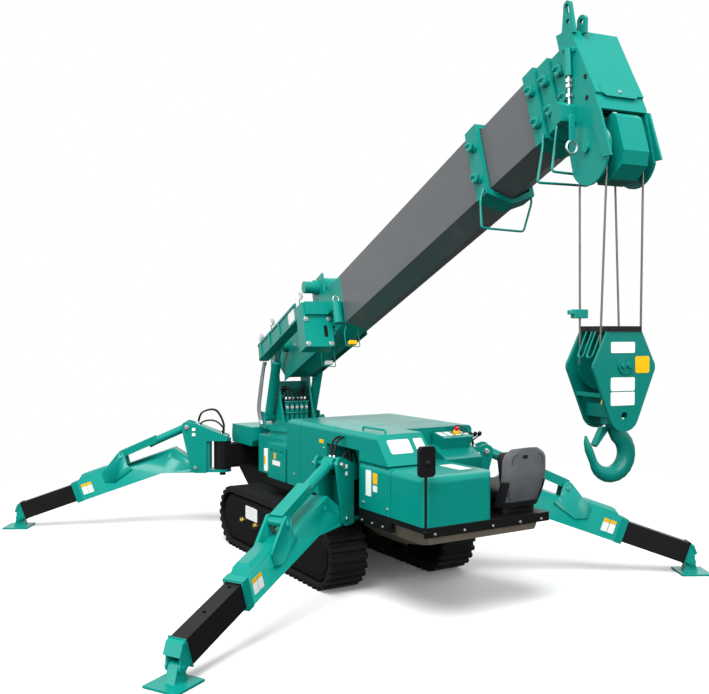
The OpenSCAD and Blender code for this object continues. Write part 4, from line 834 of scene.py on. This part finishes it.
class CRANE_OT_boom_trim(bpy.types.Operator):
    """Hangs the wire guards and lamps under the boom, and dresses the head, the housing and its tray"""
    bl_idname = "crane.boom_trim"
    bl_label = "Boom trim"

    # Guards as they hang under three sections: distance back from the section's end, and corners across and above
    GUARDS = {
        "boom_base": (0.020, ((-0.165, -0.19), (-0.198, -0.256), (-0.225, -0.432), (0.05, -0.443), (0.145, -0.254),
                              (0.150, -0.20))),
        "boom_second": (0.018, ((-0.150, -0.18), (-0.167, -0.255), (-0.245, -0.46), (0.070, -0.456), (0.112, -0.255),
                                (0.135, -0.19))),
        "boom_third": (0.016, ((-0.135, -0.17), (-0.165, -0.261), (-0.232, -0.456), (0.066, -0.466), (0.100, -0.260),
                               (0.120, -0.18))),
    }
    # Lamp cages: where along the boom, and corners across and above
    CAGES = (1.0, 1.56)
    CAGE = ((-0.12, -0.205), (-0.15, -0.285), (-0.15, -0.39), (-0.03, -0.40), (-0.03, -0.245))
    # Head, along the boom and above it: black discs of painted shade in its cheek's openings; top, middle and foot of
    # the adjuster
    SHADED_HOLES = ((4.832, -0.091), (4.811, -0.193))
    ADJUSTER = ((4.775, 0.10), (4.74, -0.03), (4.70, -0.17))
    FLAP_OUTLINE = ((0.105, 0.035), (0.105, -0.01), (0.085, -0.03), (-0.085, -0.03), (-0.105, -0.01), (-0.105, 0.035))
    # Discs of the tray: along the boom, above it, and height of the stalk
    DISCS = ((1.30, 0.05, 0.075), (0.50, 0.10, 0.075), (0.14, 0.10, 0.05))

    def ring(self, place, radius, wire):
        """A round ring about the place's z."""
        turn = np.linspace(0, 2 * math.pi, 33)
        return tube(place.out(np.stack([radius * np.cos(turn), radius * np.sin(turn), 0 * turn], -1)), wire)

    def under(self, wire):
        """The rope guards, and the lamps in their cages."""
        for name, (back, corners) in self.GUARDS.items():
            s = BOOM.extent(name)[1][0] - back
            path = bent([(s, *corner) for corner in corners], 0.022)
            build(name + "_guard", [tube(BOOM.out(path), wire)], "enamel", name)
        cages = [tube(BOOM.out(bent([(s, *corner) for corner in self.CAGE], 0.018)), wire * 0.6, 10)
                 for s in self.CAGES]
        build("lamp_cages", cages, "enamel", "boom_base")
        lamps = [slab(rounded(0.07, 0.035, 0.008), -0.02, 0.02, BOOM.facing((s, -0.09, -0.365)), 0.004)
                 for s in self.CAGES]
        build("work_lamps", lamps[:1], "white", "boom_base")
        build("warning_lamp", lamps[1:], "yellow", "boom_base")

    def head(self):
        """Black discs of painted shade in the openings of the near cheek, adjuster with its nuts, flap of the front
        cover, ring of the rope anchor.
        """
        cheek = BOOM.extent("boom_head", above=0.0)[0][1]
        # Flat black discs on the cheek stand for its openings: painted shade
        hole_shades = [turned([(0.013, -0.001), (0.013, 0.0008), (0.001, 0.0008)], BOOM.beside((s, cheek, n), -1), 20)
                 for s, n in self.SHADED_HOLES]
        build("cheek_hole_shades", hole_shades, "chassis", "boom_head")
        top, middle, foot = ((s, cheek - 0.018, n) for s, n in self.ADJUSTER)
        build("adjuster", [tube(BOOM.out(np.linspace(top, middle, 4)), 0.017, 16)], "enamel", "boom_head")
        # Nuts of six sides down the thread
        nuts = copies(turned([(0.017, 0), (0.017, 0.014), (0.007, 0.014)], sides=6), [
            BOOM.at((middle[0] - 0.285 * k, middle[1], middle[2] - k), (0, 1, 0), (0.27, 0, 0.96))
            for k in (0.03, 0.055, 0.10)])
        thread = tube(BOOM.out(np.linspace(middle, foot, 4)), 0.007)
        build("adjuster_thread", [thread, nuts], "zinc", "boom_head")
        build("head_flap", [slab(self.FLAP_OUTLINE, -0.001, 0.004, FLAP)], "enamel", "boom_head")
        becket = BOOM.at((4.700, -0.2, -0.400), (0, 1, 0), (0.947, 0, -0.321))
        hanger = slab(rounded(0.03, 0.13, 0.012, (0, 0.09)), -0.006, 0.006, becket, 0.002)
        build("becket", [hanger], "enamel", "boom_head")
        build("becket_ring", [self.ring(becket, 0.030, 0.006)], "zinc", "boom_head")

    def housing(self):
        """Ribs and clips of the tray, a black plate as painted shade of the slot in the housing's front, valve ring,
        discs on stalks.
        """
        tray = BOOM.extent("side_housing")[0][1]
        side = BOOM.beside((0, tray, 0), -1)
        ribs = [slab(rounded(1.12, 0.022, 0.004, (0.63, n)), 0, 0.008, side, 0.002) for n in (0.088, -0.046)]
        clips = [slab(rounded(0.03, 0.15, 0.006, (s, 0.02)), 0, 0.012, side, 0.002) for s in (0.16, 0.44, 0.74)]
        build("tray_ribs", ribs + clips, "enamel", "boom_base")
        front = BOOM.facing((HOUSING_FRONT, -0.225, -0.20))
        # A thin black plate stands for the slot: painted shade
        build("housing_slot_shade", [slab(rounded(0.032, 0.10, 0.01), -0.001, 0.0012, front, 0.0004)], "chassis", "boom_base")
        valve = BOOM.facing((1.560, -0.186, 0.005))
        build("valve_ring", [self.ring(valve, 0.026, 0.005)], "zinc", "boom_base")
        y = tray + 0.006
        discs = [turned([(0.030, 0), (0.036, 0.002), (0.036, 0.008), (0.030, 0.010)], BOOM.facing((s, y, n + rise)))
                 for s, n, rise in self.DISCS]
        stalks = [tube(BOOM.out(np.linspace((s, y, n - 0.01), (s, y, n + rise), 3)), 0.005, 8)
                  for s, n, rise in self.DISCS]
        build("tray_discs", discs, "zinc", "boom_base")
        build("tray_stalks", stalks, "enamel", "boom_base")

    def execute(self, context):
        self.under(context.scene.crane_sizes.wire / 2)
        self.head()
        self.housing()
        return {"FINISHED"}


class CRANE_OT_hook_trim(bpy.types.Operator):
    """Gives the hook its latch and the block its wire guards and grease nipple"""
    bl_idname = "crane.hook_trim"
    bl_label = "Hook trim"

    # Guards: two U-shaped wires over each open edge of the block, their feet and bends across and over its axis
    GUARDS, GUARD_HALF = (-0.034, 0.034), 0.021
    GUARD_FOOT, GUARD_BEND = (0.096, 0.158), (0.150, 0.036)
    NIPPLE = ((0.009, 0), (0.009, 0.012), (0.006, 0.014), (0.006, 0.022), (0.001, 0.024))
    LATCH = ((-0.052, 0.146), (-0.100, 0.060), (-0.086, 0.048), (-0.008, 0.140))

    def execute(self, context):
        wire = context.scene.crane_sizes.wire / 2
        legs = ((1, self.GUARD_FOOT), (1, self.GUARD_BEND), (-1, self.GUARD_BEND), (-1, self.GUARD_FOOT))
        guards = [bent([(c + k * self.GUARD_HALF, side * y, BLOCK_PIN + z) for k, (y, z) in legs], 0.020)
                  for side in SIDES for c in self.GUARDS]
        # Guards in the hook's darker green of painted shade
        build("block_guards", [tube(HANG.out(g), wire * 0.8, 10) for g in guards], "hook", "hook_block")
        nipple = turned(self.NIPPLE, HANG.at((0.0, -0.045, BLOCK_PIN - 0.190)), 16)
        build("block_nipple", [nipple], "brass", "hook_block")
        # Latch: a channel from the neck to the inside of the tip, drawn in the hook's own plane
        hook = HANG.facing((0, 0, BLOCK_PIN - 0.442))
        # Latch in the hook's darker green of painted shade
        build("hook_latch", [slab(self.LATCH, -0.017, 0.017, hook, 0.002)], "hook", "hook")
        return {"FINISHED"}


class CRANE_OT_controls(bpy.types.Operator):
    """Sets the levers, the stop knob and the handrail of the covers, the plugs of the tracks and the mirror's glass"""
    bl_idname = "crane.controls"
    bl_label = "Controls"

    # Levers: where across the machine they stand; profiles of the knobs as radius and height
    LEVERS = (-0.33, -0.375, -0.42)
    KNOB = ((0.004, -0.004), (0.014, 0.004), (0.017, 0.018), (0.014, 0.032), (0.004, 0.038))
    STOP_BASE = ((0.030, 0), (0.030, 0.02), (0.026, 0.024), (0.001, 0.024))
    STOP_KNOB = ((0.012, 0.02), (0.012, 0.035), (0.021, 0.038), (0.021, 0.048), (0.014, 0.054), (0.001, 0.055))
    MIRROR_KNOB = ((0.022, -0.002), (0.022, 0.006), (0.014, 0.012), (0.001, 0.013))
    # Handrail: along and across the cover, and how far over it
    RAIL, RAIL_RISE = ((-1.42, 0.41), (-1.70, 0.39)), 0.022
    # Plugs of the tracks: along the machine, height and width across
    PLUGS, PLUG_HEIGHT, PLUG_SIZE = (0.274, -0.01, -0.317), 0.277, 0.042

    def execute(self, context):
        levers, knobs = [], []
        for y in self.LEVERS:
            foot, tip = CHASSIS.out((-1.64, y + 0.02, 1.10)), CHASSIS.out((-1.69, y - 0.08, 1.185))
            levers.append(tube(np.linspace(foot, tip, 6), 0.006, 10))
            knobs.append(turned(self.KNOB, Place(tip, (0, 1, 0), tip - foot), 20))
        build("lever_rods", levers, "hose", "chassis")
        build("lever_knobs", knobs, "hose", "chassis")
        wires = [[(-1.66, -0.24 - 0.03 * k, 1.20), (-1.665 - 0.01 * k, -0.29 - 0.02 * k, 1.272 - 0.02 * k),
                  (-1.67, -0.385, 1.235 - 0.03 * k), (-1.655, -0.40 - 0.01 * k, 1.135)] for k in range(3)]
        wires = [tube(curve(CHASSIS.out(w), 30), 0.0045, 8) for w in wires]
        build("lever_wires", wires, "hose", "chassis")
        stop = CHASSIS.at((-1.67, -0.29, 1.212), (0, 1, 0), CRANE_OT_plates.PANEL_FACES)
        build("stop_base", [turned(self.STOP_BASE, stop, 28)], "yellow", "chassis")
        build("stop_knob", [turned(self.STOP_KNOB, stop, 28)], "red", "chassis")
        top = CHASSIS.extent("body_cover")[1][2]
        (a, b), rise = self.RAIL, top + self.RAIL_RISE
        rail = bent([(*a, top), (*a, rise), (*b, rise), (*b, top)], 0.012)
        build("cover_rail", [tube(CHASSIS.out(rail), 0.009)], "enamel", "chassis")
        # Terminal box in front of the power box, with its yellow band
        low, high = CHASSIS.extent("power_box")
        terminal = CHASSIS.at((high[0] + 0.026, high[1] - 0.02, low[2] + 0.05))
        build("terminal_box", [slab(rounded(0.056, 0.07, 0.008), 0, 0.20, terminal, 0.003)], "white", "chassis")
        band = terminal.at((0, 0.035, 0.10), (-1, 0, 0), (0, 1, 0))
        build("terminal_band", [slab(rounded(0.036, 0.07, 0.004), 0, 0.0016, band, 0.0005)], "yellow", "chassis")
        low, high = CHASSIS.extent("track_frames")
        plugs = [CHASSIS.beside((x, y, self.PLUG_HEIGHT), math.copysign(1, y))
                 for x in self.PLUGS for y in (low[1], high[1])]
        build("track_plugs", [copies(bolt(self.PLUG_SIZE), plugs)], "brass", "chassis")
        low, high = CHASSIS.extent("mirror", above=1.0)
        middle = (low[1] + high[1]) / 2
        knob = CHASSIS.facing((low[0], middle, high[2] - 0.112), -1)
        build("mirror_knob", [turned(self.MIRROR_KNOB, knob, 24)], "hose", "chassis")
        mirror = CHASSIS.facing((low[0] + 0.034, middle, high[2] - 0.102))
        glass = rounded(high[1] - low[1] - 0.022, 0.182, 0.024)
        build("mirror_glass", [slab(glass, 0, 0.0015, mirror, 0.0005)], "glass", "chassis")
        return {"FINISHED"}


class CRANE_OT_stage(bpy.types.Operator):
    """Sets the pale floor, the soft light and the camera"""
    bl_idname = "crane.stage"
    bl_label = "Stage"

    # The camera stands left of the machine's rear, a little above its covers; the focal length is in pixels
    IMAGE = (709, 694)
    FOCAL = 875.63
    FROM_SLEW = (-7.5549, 3.9163, 2.0225)
    YAW, PITCH = math.radians(-31.09), math.radians(-1.136)
    # Radius of the floor, and between which distances it turns white to the camera
    FLOOR, FADE = 60.0, (2.6, 6.5)
    # Strength of the world as light, and as it is seen
    WORLD, SEEN = 0.50, 1.0
    # Lamps: power, width and place, each out of the boom's reach at its full length; all turn to a point over the floor
    LAMPS = (
        ("key", 7098, 13.0, (-7.8, 9.1, 21.8)),
        ("front", 3515.2, 13.0, (-24.7, 2.6, 8.8)),
        ("fill", 1352, 18.2, (7.8, -18.2, 15.3)),
        ("left", 2839.2, 15.6, (-2.6, 24.7, 7.5)),
    )
    AIM = (0, 0, 1)

    def camera(self, scene):
        """The camera, turned about the upright and then up or down, so that uprights stay nearly upright."""
        data = bpy.data.cameras.new("camera")
        data.sensor_width = 36.0
        data.lens = data.sensor_width * self.FOCAL / max(self.IMAGE)
        data.clip_end = 500
        camera = bpy.data.objects.new("camera", data)
        camera.location = (SLEW[0] + self.FROM_SLEW[0], SLEW[1] + self.FROM_SLEW[1], self.FROM_SLEW[2])
        camera.rotation_euler = (math.pi / 2 + self.PITCH, 0, self.YAW - math.pi / 2)
        scene.collection.objects.link(camera)
        scene.camera = camera

    def floor(self, scene):
        """A flat disc whose rings widen with the square of their number, white to the camera far out."""
        ring, turn = grid(np.linspace(0.02, 1, 40), circle(96))
        radius = self.FLOOR * ring ** 2
        f = Finish("studio_floor")
        ray = add_node(f.tree, "ShaderNodeLightPath").outputs["Is Camera Ray"]
        tone = f.mixed(ray, linear("#3a3a3a"), scene.crane_colours.floor)
        MATERIALS["floor"] = f.set(tone, f.grain(600, 0.85, 0.95), Specular_IOR_Level=0.1)
        far = add_node(f.tree, "ShaderNodeVectorMath", {0: f.coords}, operation="LENGTH").outputs["Value"]
        seen = add_node(f.tree, "ShaderNodeMath", {0: f.carried(far, 0, 1, *self.FADE), 1: ray}, operation="MULTIPLY")
        glow = add_node(f.tree, "ShaderNodeEmission", {"Color": (1, 1, 1, 1), "Strength": 1.0})
        mix = add_node(f.tree, "ShaderNodeMixShader", {
            0: seen.outputs[0], 1: f.shader.outputs[0], 2: glow.outputs[0]})
        f.tree.links.new(mix.outputs[0], f.exit.inputs["Surface"])
        points, (quads, ends) = capped(np.stack([
            radius * np.cos(turn), radius * np.sin(turn), np.full_like(radius, -0.001)], -1))
        # The face over the last ring would lie on the disc itself
        build("floor", [(points, [quads, ends[:1]])], "floor")

    def light(self, scene):
        """A white world, weaker as light than it is seen, and wide lamps turned to the machine."""
        scene.world = bpy.data.worlds.new("studio")
        scene.world.use_nodes = True
        tree = scene.world.node_tree
        tree.nodes.clear()
        path = add_node(tree, "ShaderNodeLightPath")
        seen = add_node(tree, "ShaderNodeMath", {
            0: path.outputs["Is Camera Ray"], 1: path.outputs["Is Glossy Ray"]}, operation="MAXIMUM")
        strength = add_node(tree, "ShaderNodeMapRange", {
            "Value": seen.outputs[0], "To Min": self.WORLD, "To Max": self.SEEN})
        back = add_node(tree, "ShaderNodeBackground", {"Color": (1, 1, 1, 1), "Strength": strength.outputs["Result"]})
        add_node(tree, "ShaderNodeOutputWorld", {"Surface": back.outputs[0]})
        for name, power, size, spot in self.LAMPS:
            data = bpy.data.lights.new(name, "AREA")
            data.energy, data.size = power, size
            lamp = bpy.data.objects.new(name, data)
            away = np.subtract(spot, self.AIM)
            place = Place(spot, np.cross(UP, away), away)
            lamp.matrix_world = Matrix([[*place.axes[:, k], spot[k]] for k in range(3)] + [[0, 0, 0, 1]])
            scene.collection.objects.link(lamp)

    def execute(self, context):
        scene = context.scene
        scene.view_settings.view_transform = "Standard"
        self.camera(scene)
        self.floor(scene)
        self.light(scene)
        return {"FINISHED"}


OPERATORS = (
    CRANE_OT_finishes, CRANE_OT_ropes, CRANE_OT_seat, CRANE_OT_bolts, CRANE_OT_plates, CRANE_OT_hoses,
    CRANE_OT_valves, CRANE_OT_boom_trim, CRANE_OT_hook_trim, CRANE_OT_controls, CRANE_OT_stage,
)


class CRANE_PT_panel(bpy.types.Panel):
    """Lists the crane's pieces in the 3D view's sidebar"""
    bl_label = "Crane"
    bl_idname = "CRANE_PT_panel"
    bl_space_type = "VIEW_3D"
    bl_region_type = "UI"
    bl_category = "Crane"

    def draw(self, context):
        for operator in OPERATORS:
            self.layout.operator(operator.bl_idname)


CLASSES = (CraneColours, CraneSizes, *OPERATORS, CRANE_PT_panel)


def register():
    for cls in CLASSES:
        bpy.utils.register_class(cls)
    bpy.types.Scene.crane_colours = bpy.props.PointerProperty(type=CraneColours)
    bpy.types.Scene.crane_sizes = bpy.props.PointerProperty(type=CraneSizes)


def unregister():
    del bpy.types.Scene.crane_sizes
    del bpy.types.Scene.crane_colours
    for cls in reversed(CLASSES):
        bpy.utils.unregister_class(cls)


def main():
    register()
    for operator in OPERATORS:
        getattr(bpy.ops.crane, operator.bl_idname.split(".")[1])()


if __name__ == "__main__":
    main()
